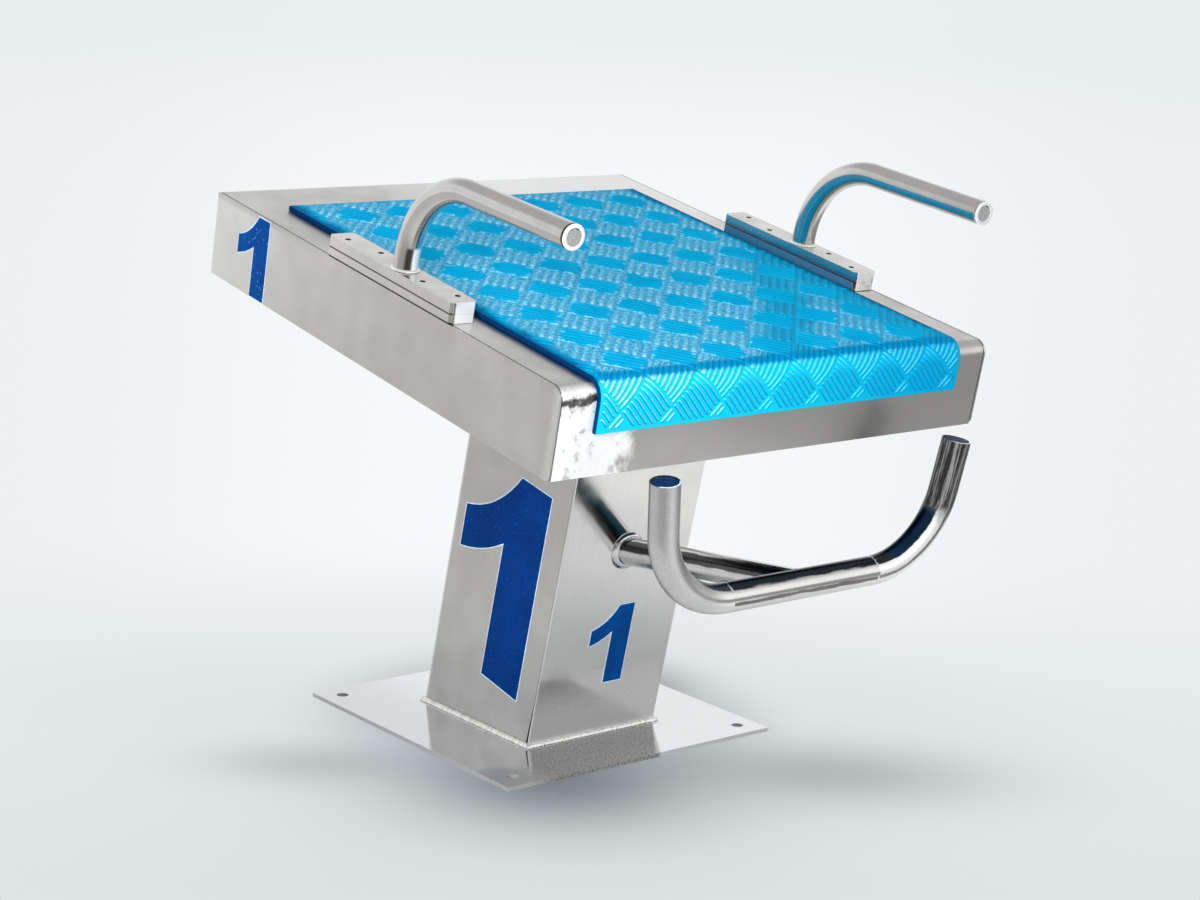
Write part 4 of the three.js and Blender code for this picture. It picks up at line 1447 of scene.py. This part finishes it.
@dataclass
class Column(SubAssembly):
    """The leaning box of four sheets and the weld at its foot."""

    width: float = 186
    depth: float = 208
    foot_level: float = 5.3
    weld_leg: float = 4.8
    weld_pitch: float = 2.9
    weld_step: float = 0.72
    weld_ripple: float = 0.24

    def build(self) -> None:
        """Builds the sheets and the weld."""
        front_and_rear = ("column_front_sheet", "column_rear_sheet")
        self.ease(self.finishes.column_face, Slot.POLISHED, 0.8, *front_and_rear)
        sides = (f"column_{side.word}_sheet" for side in Side)
        self.ease(self.finishes.column_side, Slot.SATIN, 0.5, *sides)
        legs = (self.weld_leg, self.weld_leg)
        bead = weld_bead("foot_weld_bead", self._foot_seats(), legs, self.weld_pitch, self.weld_ripple)
        self.keep(bead, self.finishes.weld, Slot.POLISHED, "foot_weld")

    def _foot_seats(self) -> list[WeldSeat]:
        """Returns the weld's places once round the column's foot."""
        x = self.width / 2 + 0.3
        front = -self.depth / 2 - 0.35
        rear = self.depth / 2 + 0.25
        corners = [Vector(c) for c in ((-x, front, 0), (x, front, 0), (x, rear, 0), (-x, rear, 0))]
        outs = (-AXIS_Y, AXIS_X, AXIS_Y, -AXIS_X)
        ups = (COLUMN.up, AXIS_Z) * 2
        seats: list[WeldSeat] = []
        gone = 0.0
        for index, (start, out, up) in enumerate(zip(corners, outs, ups)):
            end = corners[(index + 1) % 4]
            length = (end - start).length
            count = round(length / self.weld_step)
            for i in range(count):
                corner = start.lerp(end, i / count) + AXIS_Z * self.foot_level
                aim = out if i else (out + outs[index - 1])
                seats.append(WeldSeat(corner, aim, up, gone + length * i / count))
            gone += length
        return seats


@dataclass
class PlatformFrame(SubAssembly):
    """The folded deck with its skirt and what stiffens it from below."""

    length: float = 665
    width: float = 600
    height: float = 97
    sheet: float = 3
    bend: float = 15
    corner: float = 5
    gap: float = 0.3

    def build(self) -> None:
        """Builds the frame's sheets and the parts under them."""
        self._deck()
        for side in Side:
            self._side_plate(side)
        plain = self.finishes.frame_rear
        gussets = (f"head_gusset_{side.word}" for side in Side)
        channels = (f"cross_channel_{place}" for place in ("front", "middle", "rear"))
        self.ease(plain, Slot.SATIN, 0.5, "rear_plate")
        self.ease(self.finishes.frame, Slot.SATIN, 0.5, "head_plate", *gussets)
        self.ease(plain, Slot.SATIN, 0.5, *channels)

    def _deck(self) -> None:
        """Builds the deck sheet, folded down over the front."""
        centre = (self.bend, self.height - self.bend)
        inner = self.bend - self.sheet
        loop = [(0, 0), *arc(centre, (-self.bend, self.bend), 14), (self.length, self.height)]
        loop.append((self.length, self.height - self.sheet))
        loop += [*reversed(arc(centre, (-inner, inner), 14)), (self.sheet, 0)]
        x = self.width / 2 - self.sheet - self.gap
        piece = slab("deck_sheet_folded", loop, on_platform, -x, x)
        self.keep(ease_edges(piece, 0.5), self.finishes.frame, Slot.SATIN, "deck_sheet")

    def _side_plate(self, side: Side) -> None:
        """Builds a side plate, rounded at its front corners.

        Args:
            side: the side that it is on.
        """
        centre = (self.bend, self.height - self.bend)
        loop = [(self.length, 0), (self.length, self.height)]
        loop += reversed(arc(centre, (-self.bend, self.bend), 10))
        loop += arc((self.corner, self.corner), (-self.corner, -self.corner), 10)
        outer = side.value * self.width / 2
        inner = outer - side.value * self.sheet
        node = f"side_plate_{side.word}"
        piece = slab(f"{node}_cut", loop, on_platform, inner, outer)
        self.keep(ease_edges(piece, 0.6), self.finishes.frame, Slot.SATIN, node)


@dataclass
class Tread(SubAssembly):
    """The moulded tread with its front apron and its diamonds of ribs."""

    width: float = 508
    end: float = 586
    apron_foot: float = 47.5
    bend: float = 15
    bend_level: float = 82
    underside: float = 15.3
    thickness: float = 7
    rib_height: float = 1.3
    rib_width: float = 6.6
    apron_rib_width: float = 3.4
    tooth: float = 9.0
    rib_end: float = 3.2
    rib_step: float = 4.0
    pitch_across: float = 66.3
    pitch_along: float = 71.0
    first_across: float = 6.4
    first_along: float = 25.0
    ribs_in_group: int = 5
    apron_ribs_in_group: int = 8
    margin: float = 4.5
    sunk: float = 0.05

    @property
    def outer(self) -> float:
        """The radius of the fold's outside, below the ribs."""
        return self.underside + self.thickness - self.rib_height

    @property
    def fold(self) -> float:
        """How long the fold is, measured over its outside."""
        return self.outer * QUARTER

    def build(self) -> None:
        """Builds the sheet and its ribs as one moulding."""
        half = self.width / 2
        sheet = slab("tread_moulding", self._outline(), on_platform, -half, half)
        self.keep(ease_edges(sheet, 1.1, 3), self.finishes.tread, Slot.TREAD, "tread")
        ribs = Stock()
        for start, end, pale in self._rib_lines():
            self._add_rib(ribs, start, end, pale)
        self.keep(ribs.piece("tread_ribs", sharp=60), self.finishes.tread, Slot.TREAD, "tread")

    def _outline(self) -> list[Pair]:
        """Returns the sheet's profile in the platform's frame."""
        centre = (self.bend, self.bend_level)
        inner, outer = self.underside, self.outer
        loop = [(self.bend - outer, self.apron_foot), *arc(centre, (-outer, outer), 18)]
        loop += [(self.end, self.bend_level + outer), (self.end, self.bend_level + inner)]
        loop += reversed(arc(centre, (-inner, inner), 18))
        return [*loop, (self.bend - inner, self.apron_foot)]

    def surface(self, across: float, along: float, lift: float) -> Vector:
        """Lays a place of the unrolled tread on its surface.

        Args:
            across: the distance from the middle.
            along: the distance behind the fold's upper end, over the surface.
            lift: the height above the sheet.

        Returns:
            The point.
        """
        reach = self.outer + lift
        if along >= 0:
            return PLATFORM.at(across, self.bend + along, self.bend_level + reach)
        angle = min(-along / self.outer, QUARTER)
        level = self.bend_level + reach * math.cos(angle) - max(0.0, -along - self.fold)
        return PLATFORM.at(across, self.bend - reach * math.sin(angle), level)

    def _rib_lines(self) -> list[tuple[Pair, Pair, float]]:
        """Returns each rib's ends on the unrolled tread and how strongly glints are painted on it."""
        half_across, half_along = self.pitch_across / 2, self.pitch_along / 2
        side = math.hypot(half_across, half_along)
        apron = self.bend_level - self.apron_foot
        low = (-self.width / 2 + self.margin, -self.fold - apron + self.margin)
        high = (self.width / 2 - self.margin, self.end - self.bend - self.margin)
        lines = []
        spots = [(column, row) for column in range(-10, 11) for row in range(-4, 20)]
        for column, row in spots:
            if (column + row) % 2:
                continue
            middle = (self.first_across + column * half_across, self.first_along + row * half_along)
            leaning = -1 if row % 2 == 0 else 1
            aim = (half_across / side * leaning, half_along / side)
            ribs = self.ribs_in_group if row >= 0 else self.apron_ribs_in_group
            for index in range(ribs):
                offset = (index - (ribs - 1) / 2) * side / ribs
                centre = (middle[0] - aim[0] * offset, middle[1] + aim[1] * offset)
                line = clipped(centre, aim, side / 2 - 1.2, low, high)
                if line:
                    lines.append((*line, 1.0 if leaning > 0 else 0.0))
        return lines

    def _add_rib(self, stock: Stock, start: Pair, end: Pair, pale: float) -> None:
        """Adds one rounded rib.

        Args:
            stock: the mesh so far.
            start: one end on the unrolled tread.
            end: the other end.
            pale: how strongly glints are painted on it.
        """
        length = math.dist(start, end)
        aim = ((end[0] - start[0]) / length, (end[1] - start[1]) / length)
        inner = length - 2 * self.rib_end
        count = max(2, round(inner / self.rib_step))
        ends = [self.rib_end * share for share in (0.0, 0.25, 0.6, 1.0)]
        places = ends + [self.rib_end + inner * i / count for i in range(1, count)]
        places += [length - place for place in reversed(ends)]
        half = ((-1.0, 0.0), (-0.72, 0.5), (-0.36, 0.88))
        profile = (*half, (0, 1), *((-out, up) for out, up in reversed(half)))
        width = self.rib_width if start[1] + end[1] > 0 else self.apron_rib_width
        rows, lifts = [], []
        for place in places:
            near = min(1.0, min(place, length - place) / self.rib_end)
            swell = math.sqrt(max(0.0, 1 - (1 - near) ** 2))
            row = []
            for out, up in profile:
                offset = out * width / 2 * max(0.02, swell)
                across = start[0] + aim[0] * place - aim[1] * offset
                along = start[1] + aim[1] * place + aim[0] * offset
                row.append(self.surface(across, along, up * swell * self.rib_height - self.sunk))
            rows.append(row)
            lifts.append([up * swell for _, up in profile])
        pales = [pale * max(0.0, 1 - place / self.tooth) for place in places]
        stock.solid(rows, lift=lifts, pale=pales)


def clipped(middle: Pair, aim: Pair, reach: float, low: Pair, high: Pair) -> tuple[Pair, Pair] | None:
    """Cuts a line at a rectangle's borders.

    Args:
        middle: the line's middle.
        aim: its direction.
        reach: how far it goes both ways.
        low: the rectangle's lowest corner.
        high: its highest corner.

    Returns:
        Both ends, or none where less than a short stub is left.
    """
    start, end = -reach, reach
    for axis in range(2):
        bounds = sorted((border[axis] - middle[axis]) / aim[axis] for border in (low, high))
        start, end = max(start, bounds[0]), min(end, bounds[1])
    if end - start < SHORTEST_RIB:
        return None
    return tuple((middle[0] + aim[0] * t, middle[1] + aim[1] * t) for t in (start, end))


@dataclass
class HandGrip(SubAssembly):
    """One hand grip: two screwed plates, a bent tube, its weld and its cap."""

    side: Side = Side.LEFT
    reach: float = 282.5
    place: float = 305
    right_shift: float = 8
    plate_offset: float = 7
    plate_length: float = 238
    plate_top: float = 119.6
    radius: float = 13.5
    wall: float = 2
    rise: float = 107
    run: float = 266
    tilt: float = 2.5
    bend: float = 102
    cap_thickness: float = 3
    rim: float = 1.2
    gap: float = 0.3
    screw_shares: tuple[float, ...] = (-0.41, -0.2, 0.2, 0.41)
    screw_stagger: float = 5
    screw_turn: float = 15
    screw_turn_step: float = 37
    weld_steps: int = 120
    weld_legs: Pair = (2.5, 2.6)
    weld_pitch: float = 2.6
    weld_ripple: float = 0.12

    def __post_init__(self) -> None:
        """Finds the grip's working frame from its side."""
        place = self.place - (self.right_shift if self.side is Side.RIGHT else 0)
        origin = PLATFORM.at(self.side.value * self.reach, place, 0)
        self.bench = replace(PLATFORM, origin=origin)

    def build(self) -> None:
        """Builds the grip's pieces."""
        word, finishes = self.side.word, self.finishes
        self.ease(finishes.grip_plate, Slot.SATIN, 0.8, f"grip_pad_{word}", f"grip_plate_{word}")
        run = self._path()
        tube = pipe(f"grip_tube_{word}_bent", run, self.bench.across, self.radius, self.wall)
        finish = finishes.grip_tube if self.side is Side.LEFT else finishes.plain_grip_tube
        self.keep(tube, finish, Slot.POLISHED, f"grip_tube_{word}")
        self._weld(word)
        self._cap(word, run[-1])
        for index, share in enumerate(self.screw_shares):
            stagger = self.screw_stagger * (-1 if index % 2 == 0 else 1) * self.side.value
            along = self.plate_offset + share * self.plate_length
            spot = self.bench.at(stagger, along, self.plate_top)
            name = f"grip_screw_{word}_{index + 1}"
            turn = self.screw_turn + self.screw_turn_step * index
            screw = socket_screw(f"{name}_turned", spot, self.bench, turn)
            self.keep(screw, finishes.screw, Slot.SCREW, name)

    def _path(self) -> list[Station]:
        """Returns the tube's stations from its foot to its end."""
        tilt = math.radians(self.tilt)
        start = self.bench.at(0, 0, self.plate_top + self.gap)
        corner = self.bench.at(0, 0, self.plate_top + self.rise)
        end = corner + self.bench.aim(0, -self.run * math.cos(tilt), self.run * math.sin(tilt))
        return bent_run(start, corner, end, self.bend, 36)

    def _weld(self, word: str) -> None:
        """Builds the weld round the tube's foot on the side of the given name.

        Args:
            word: the side's name.
        """
        foot = self.bench.at(0, 0, self.plate_top + self.gap)
        seats = [
            WeldSeat(foot + out * (self.radius + 0.1), out, self.bench.up, angle * self.radius)
            for out, _, angle in spokes(self.bench.across, self.bench.along, self.weld_steps)
        ]
        name = f"grip_weld_{word}_bead"
        bead = weld_bead(name, seats, self.weld_legs, self.weld_pitch, self.weld_ripple)
        self.keep(bead, self.finishes.weld, Slot.POLISHED, f"grip_weld_{word}")

    def _cap(self, word: str, tip: Station) -> None:
        """Builds the cap with its rounded rim.

        Args:
            word: the side's name.
            tip: the tube's last station.
        """
        full, thick, rim = self.radius, self.cap_thickness, self.rim
        spigot = full - self.wall - self.gap
        profile = [(spigot, -9), (spigot, self.gap), (full - 1.3, self.gap), (full - 1.3, 1.2), (full, 1.4)]
        profile += arc((full - rim, thick - rim), (rim, rim), 5)
        profile += [(full - 3.8, thick), (full - 4.6, thick - 1.0), (1, thick - 0.9)]
        cap = turned(f"grip_cap_{word}_turned", profile, tip)
        self.keep(cap, self.finishes.cap, Slot.POLISHED, f"grip_cap_{word}")


def socket_screw(name: str, top: Vector, bench: Bench, degrees: float) -> bpy.types.Object:
    """Makes a countersunk screw with a hexagon socket.

    Args:
        name: the object's name.
        top: the middle of the head's top.
        bench: the frame that it stands in.
        degrees: how far the socket is turned.

    Returns:
        The object.
    """
    ways = spokes(bench.across, bench.along, 48)
    head = ((0.9, -18), (3, -17), (3, -3.0), (5.2, -0.45), (5.5, -0.25), (5.4, -0.05), (5.1, 0))
    rings = [([radius] * len(ways), height) for radius, height in head]
    turns = [(angle + math.radians(degrees)) % (math.pi / 3) - math.pi / 6 for _, _, angle in ways]
    corners = [math.cos(math.pi / 6) / math.cos(turn) for turn in turns]
    for size, height in ((2.75, -0.02), (2.55, -0.2), (2.45, -2.0), (0.4, -2.5)):
        rings.append(([size * corner for corner in corners], height))
    rows, course = [], []
    for ring, height in rings:
        rows.append([top + way[0] * radius + bench.up * height for way, radius in zip(ways, ring)])
        course.append([way[1] * radius + AXIS_Z * height for way, radius in zip(ways, ring)])
    return Stock().solid(rows, course=course).piece(name)


@dataclass
class BackstrokeBar(SubAssembly):
    """The U-shaped bar with its plugs, its seams and the tube that carries it."""

    radius: float = 16
    wall: float = 2
    half_width: float = 188
    arm: float = 139
    flare: float = 7.3
    bend: float = 96
    gap: float = 0.3
    support_height: float = 238
    seam_profile: tuple[Pair, ...] = (
        (-1.8, -0.1), (-1.0, 0.06), (0, 0.12), (1.0, 0.06), (1.8, -0.1), (0, -0.6)
    )
    weld_steps: int = 150
    weld_legs: Pair = (6.0, 4.6)
    weld_pitch: float = 2.4
    weld_ripple: float = 0.05

    def build(self) -> None:
        """Builds the bar and its support."""
        arms = {side: self._arm_path(side) for side in Side}
        ends = [arms[side][0].point - BAR.aim(side.value * 2 * self.gap, 0, 0) for side in Side]
        run = straight_run(*ends)
        middle = pipe("bar_middle_straight", run, BAR.up, self.radius, self.wall, eased=0.25)
        self.keep(middle, self.finishes.bar, Slot.POLISHED, "bar_middle")
        for side, run in arms.items():
            word = side.word
            arm = pipe(f"bar_arm_{word}_bent", run, BAR.along, self.radius, self.wall)
            finish = self.finishes.streaked_tube if side is Side.RIGHT else self.finishes.satin_arm
            self.keep(arm, finish, Slot.POLISHED, f"bar_arm_{word}")
            self._seam(word, run[0])
            self._plug(word, run[-1])
        self._support()

    def _arm_path(self, side: Side) -> list[Station]:
        """Returns the stations of an arm, from the bar's middle to its tip.

        Args:
            side: the side that it is on.

        Returns:
            The stations.
        """
        sign = side.value
        flare = math.radians(self.flare)
        turn = QUARTER - flare
        start = sign * (self.half_width - self.bend * math.tan(turn / 2) + self.gap)
        corner = sign * self.half_width
        tip = sign * (self.half_width + self.arm * math.tan(flare))
        points = (BAR.at(start, 0, 0), BAR.at(corner, 0, 0), BAR.at(tip, 0, self.arm))
        return bent_run(*points, self.bend - 0.5, 34)

    def _seam(self, word: str, foot: Station) -> None:
        """Builds the dressed weld where the bar's middle meets an arm.

        Args:
            word: the side's name.
            foot: the arm's first station.
        """
        rows = []
        centre = foot.point - foot.aim * self.gap
        for shift, lift in self.seam_profile:
            row = []
            for out, _, angle in spokes(BAR.along, BAR.up, 72):
                rough = 0.05 * math.sin(angle * 23) + 0.04 * math.sin(angle * 9 + 1)
                wobble = 0.25 * math.sin(angle * 7) + 0.2 * math.sin(angle * 17)
                along = foot.aim * (shift + (wobble if shift else 0))
                row.append(centre + along + out * (self.radius + lift + rough * (lift > 0)))
            rows.append(row)
        seam = Stock().loop(rows).piece(f"bar_seam_{word}", sharp=80)
        self.keep(seam, self.finishes.tube, Slot.POLISHED)

    def _plug(self, word: str, tip: Station) -> None:
        """Builds the plug in an arm's end.

        Args:
            word: the side's name.
            tip: the arm's last station.
        """
        full = self.radius - self.wall - self.gap
        profile = [(full, -12), (full, -3), (full - 1.1, -2), (full - 1.1, -0.2), (full - 1.6, 0.2), (1, 0.4)]
        plug = turned(f"bar_plug_{word}_moulded", profile, tip)
        self.keep(plug, self.finishes.plug, Slot.PLUG, f"bar_plug_{word}")

    def _support(self) -> None:
        """Builds the support tube, coped at both ends, and its weld on the column."""
        climb = (self.support_height - COLUMN.origin.z) / COLUMN.up.z
        foot = COLUMN.origin + COLUMN.up * climb
        length = (BAR.origin - foot).length
        aim = (BAR.origin - foot).normalized()
        up = AXIS_X.cross(aim)
        face = COLUMN.along
        slope = aim.dot(face)
        drop = self.radius + self.gap
        inner = self.radius - self.wall
        rows, course = [], []
        for radius, far in ((self.radius, False), (self.radius, True), (inner, True), (inner, False)):
            row, straight = [], []
            for out, flat, angle in spokes(AXIS_X, up, 64):
                to_bar = math.sqrt(drop**2 - (radius * math.sin(angle)) ** 2)
                to_column = self.gap - (out * radius).dot(face) / slope
                gone = length - to_bar if far else to_column
                row.append(foot + out * radius + aim * gone)
                straight.append(flat * radius + AXIS_Z * gone)
            rows.append(row)
            course.append(straight)
        tube = ease_edges(Stock().loop(rows, course=course).piece("bar_support_coped"), 0.25)
        self.keep(tube, self.finishes.support, Slot.POLISHED, "bar_support")
        seats = []
        for out, _, angle in spokes(AXIS_X, up, self.weld_steps):
            ring = out * (self.radius + 0.1)
            corner = foot + ring + aim * (self.gap - ring.dot(face) / slope)
            flat_out = (out - face * out.dot(face)).normalized()
            seats.append(WeldSeat(corner, flat_out, aim, angle * self.radius))
        name = "bar_support_weld_bead"
        bead = weld_bead(name, seats, self.weld_legs, self.weld_pitch, self.weld_ripple)
        self.keep(bead, self.finishes.tube, Slot.POLISHED, "bar_support_weld")


@dataclass
class LaneNumbers(SubAssembly):
    """The three numerals of vinyl film, each with a pale edge."""

    edge: float = 1.3
    thickness: float = 0.5
    gap: float = 0.05
    side_height: float = 260
    side_corner: Triple = (-93, 34.5, 41)
    front_height: float = 103
    front_corner: Triple = (-31.5, 0, 67)
    frame_height: float = 113
    frame_corner: Triple = (-300, 612, -16)
    frame_trim: float = 16

    def build(self) -> None:
        """Builds the numerals of the column and of the skirt."""
        films = self.finishes
        x, behind, rise = self.side_corner
        side = COLUMN.at(x, self.side_height * NUMERAL_WIDTH + behind, rise)
        front = COLUMN.at(*self.front_corner)
        frame = PLATFORM.at(*self.frame_corner)
        face = (-COLUMN.along, COLUMN.up)
        self._numeral("number_column_side", side, face, self.side_height, 0, films.column_film)
        face = (AXIS_X, COLUMN.up)
        self._numeral("number_column_front", front, face, self.front_height, 0, films.front_film)
        face = (-PLATFORM.along, PLATFORM.up)
        self._numeral("number_frame", frame, face, self.frame_height, self.frame_trim, films.frame_film)

    def _numeral(
        self,
        node: str,
        corner: Vector,
        face: tuple[Vector, Vector],
        height: float,
        trim: float,
        film: bpy.types.Material,
    ) -> None:
        """Builds one numeral and its edge.

        Args:
            node: the CAD node that it stands for.
            corner: the numeral's lower left corner on the face.
            face: the directions to its right and up.
            height: its height.
            trim: how much of its foot is cut off.
            film: its material.
        """
        place = Bench(corner, *face, face[0].cross(face[1])).at
        outer = numeral_outline(height, trim)
        backing = slab(f"{node}_edge", outer, place, self.gap, self.thickness * 0.75)
        self.keep(backing, self.finishes.film_edge, Slot.NUMBER, node)
        inner = inset(outer, self.edge)
        front = slab(f"{node}_film", inner, place, self.thickness * 0.5, self.thickness + 0.15)
        self.keep(ease_edges(front, 0.12), film, Slot.NUMBER, node)


def curve(start: Pair, bend: Pair, end: Pair, steps: int = 12) -> list[Pair]:
    """Returns the points of a quadratic curve after its start.

    Args:
        start: its start, which is left out.
        bend: the point that it bends towards.
        end: its end.
        steps: how many steps it has.

    Returns:
        The points.
    """
    points = []
    for t in (i / steps for i in range(1, steps + 1)):
        weights = ((1 - t) ** 2, 2 * t * (1 - t), t * t)
        points.append(tuple(sum(w * n for w, n in zip(weights, axis)) for axis in zip(start, bend, end)))
    return points


def numeral_outline(height: float, trim: float) -> list[Pair]:
    """Draws the numeral 1.

    Args:
        height: its height.
        trim: how much of its foot is cut off.

    Returns:
        The outline, anticlockwise.
    """
    right, foot, left = NUMERAL_WIDTH, trim / height, 0.302
    shares = [(left, foot), (right, foot), (right, 1.0), (0.357, 1.0)]
    shares += curve((0.357, 1.0), (0.217, 0.775), (0.0, 0.719))
    shares += [(0.0, 0.504)]
    shares += curve((0.0, 0.504), (0.165, 0.54), (left, 0.645))
    return [(a * height, b * height) for a, b in shares]


def inset(loop: Sequence[Pair], distance: float) -> list[Pair]:
    """Draws an outline inside another one.

    Args:
        loop: the outer outline, anticlockwise.
        distance: how far the new one lies inside.

    Returns:
        The new outline, point by point.
    """
    result = []
    for before, (x, y), after in zip(loop[-1:] + loop[:-1], loop, loop[1:] + loop[:1]):
        first = Vector((x - before[0], y - before[1])).normalized()
        second = Vector((after[0] - x, after[1] - y)).normalized()
        inward = Vector((-first.y, first.x))
        middle = (inward + Vector((-second.y, second.x))).normalized()
        reach = distance / max(0.35, middle.dot(inward))
        result.append((x + middle.x * reach, y + middle.y * reach))
    return result


# Studio


@dataclass
class Studio:
    """The camera, the lamps, the floor and the backdrop."""

    eye: Triple = (-1.7461, -2.2575, 0.9382)
    lens: float = 74.316
    right: Triple = (0.7815, -0.6228, 0.0358)
    above: Triple = (0.1031, 0.1855, 0.9772)
    floor_rings: tuple[float, ...] = (0.4, 0.8, 1.6, 3.2, 8, 25, 80)
    ambient: float = 0.45

    def build(self) -> None:
        """Sets the whole studio up."""
        self._camera()
        self._floor()
        self._world()
        self._lamp("overhead_softbox", (-0.2, 0.0, 2.6), (0, 0, 0.3), size=1.8, power=9)
        self._lamp("front_softbox", (-1.7, -1.5, 0.95), (0, -0.3, 0.42), size=0.9, power=50)

    def _camera(self) -> None:
        """Places the camera where the photograph was taken."""
        data = bpy.data.cameras.new("portrait_camera")
        data.lens = self.lens
        data.sensor_width = 36
        data.sensor_fit = "HORIZONTAL"
        data.clip_end = 300
        camera = bpy.data.objects.new("portrait_camera", data)
        x = Vector(self.right).normalized()
        y = Vector(self.above)
        y = (y - x * x.dot(y)).normalized()
        turn = Matrix((x, y, x.cross(y))).transposed().to_4x4()
        camera.matrix_world = Matrix.Translation(self.eye) @ turn
        bpy.context.scene.collection.objects.link(camera)
        bpy.context.scene.camera = camera

    def _floor(self) -> None:
        """Lays the floor as a wide disc of rings."""
        stock = Stock()
        ways = spokes(AXIS_X, AXIS_Y, 64)
        rings = stock.rows([[out * (radius / MM) for out, _, _ in ways] for radius in self.floor_rings])
        stock.faces.append(tuple(rings[0]))
        floor = stock.piece("studio_floor")
        floor.data.materials.append(StageFloor().finish())

    def _world(self) -> None:
        """Lights the scene evenly and shows the pale studio to eye and mirror."""
        world = bpy.data.worlds.new("studio_world")
        world.use_nodes = True
        bpy.context.scene.world = world
        desk = NodeDesk(world.node_tree)
        aim = desk.take("ShaderNodeTexCoord", "Generated")
        rise = aim.along((0, 0, 1))
        back = aim.along((0.629, 0.777, 0))
        right = aim.along((0.777, -0.629, 0)).grows(0.1, 0.5)
        backdrop = desk.blend(rise.grows(0, 0.3), (0.82, 0.86, 0.875), (0.90, 0.915, 0.925))
        wall = desk.blend(rise.grows(0.42, 0.62), (0.93, 0.935, 0.94), (0.56, 0.555, 0.55))
        room = desk.blend(rise.grows(0.05, 0.16), (0.10, 0.10, 0.10), (0.42, 0.415, 0.41))
        glare = desk.blend(rise.grows(0.30, 0.68), (1.15, 1.14, 1.13), (0.56, 0.555, 0.55))
        studio = desk.blend(back.grows(-0.25, 0.25), room, wall)
        studio = desk.blend(right * back.falls(0.15, 0.40), studio, glare)
        seen, mirrored = desk.mirror_rays()
        shown = desk.take("ShaderNodeBackground", 0, desk.blend(mirrored, backdrop, studio))
        light = desk.take("ShaderNodeBackground", 0, (0.97, 0.985, 1.0), self.ambient)
        mixed = desk.take("ShaderNodeMixShader", 0, seen.at_least(mirrored), light, shown)
        desk.add("ShaderNodeOutputWorld", mixed)

    def _lamp(self, name: str, place: Triple, target: Triple, size: float, power: float) -> None:
        """Hangs one soft lamp.

        Args:
            name: the lamp's name.
            place: where it hangs, in metres.
            target: what it points at.
            size: its width and height in metres.
            power: its power in watts.
        """
        data = bpy.data.lights.new(name, "AREA")
        data.shape = "SQUARE"
        data.size = size
        data.energy = power
        lamp = bpy.data.objects.new(name, data)
        lamp.location = place
        lamp.rotation_euler = (Vector(target) - Vector(place)).to_track_quat("-Z", "Y").to_euler()
        lamp.visible_camera = False
        lamp.visible_glossy = False
        bpy.context.scene.collection.objects.link(lamp)


def main() -> None:
    """Builds the studio and the block, and reports each piece."""
    logging.basicConfig(level=logging.INFO, format="%(message)s")
    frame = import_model()
    bpy.context.scene.view_settings.view_transform = "Standard"
    Studio().build()
    kit = (frame["nodes"], Finishes())
    assemblies: list[SubAssembly] = [
        BasePlate(*kit),
        Column(*kit),
        PlatformFrame(*kit),
        Tread(*kit),
        *(HandGrip(*kit, side=side) for side in Side),
        BackstrokeBar(*kit),
        LaneNumbers(*kit),
    ]
    for assembly in assemblies:
        assembly.build()
        assembly.report()


if __name__ == "__main__":
    main()
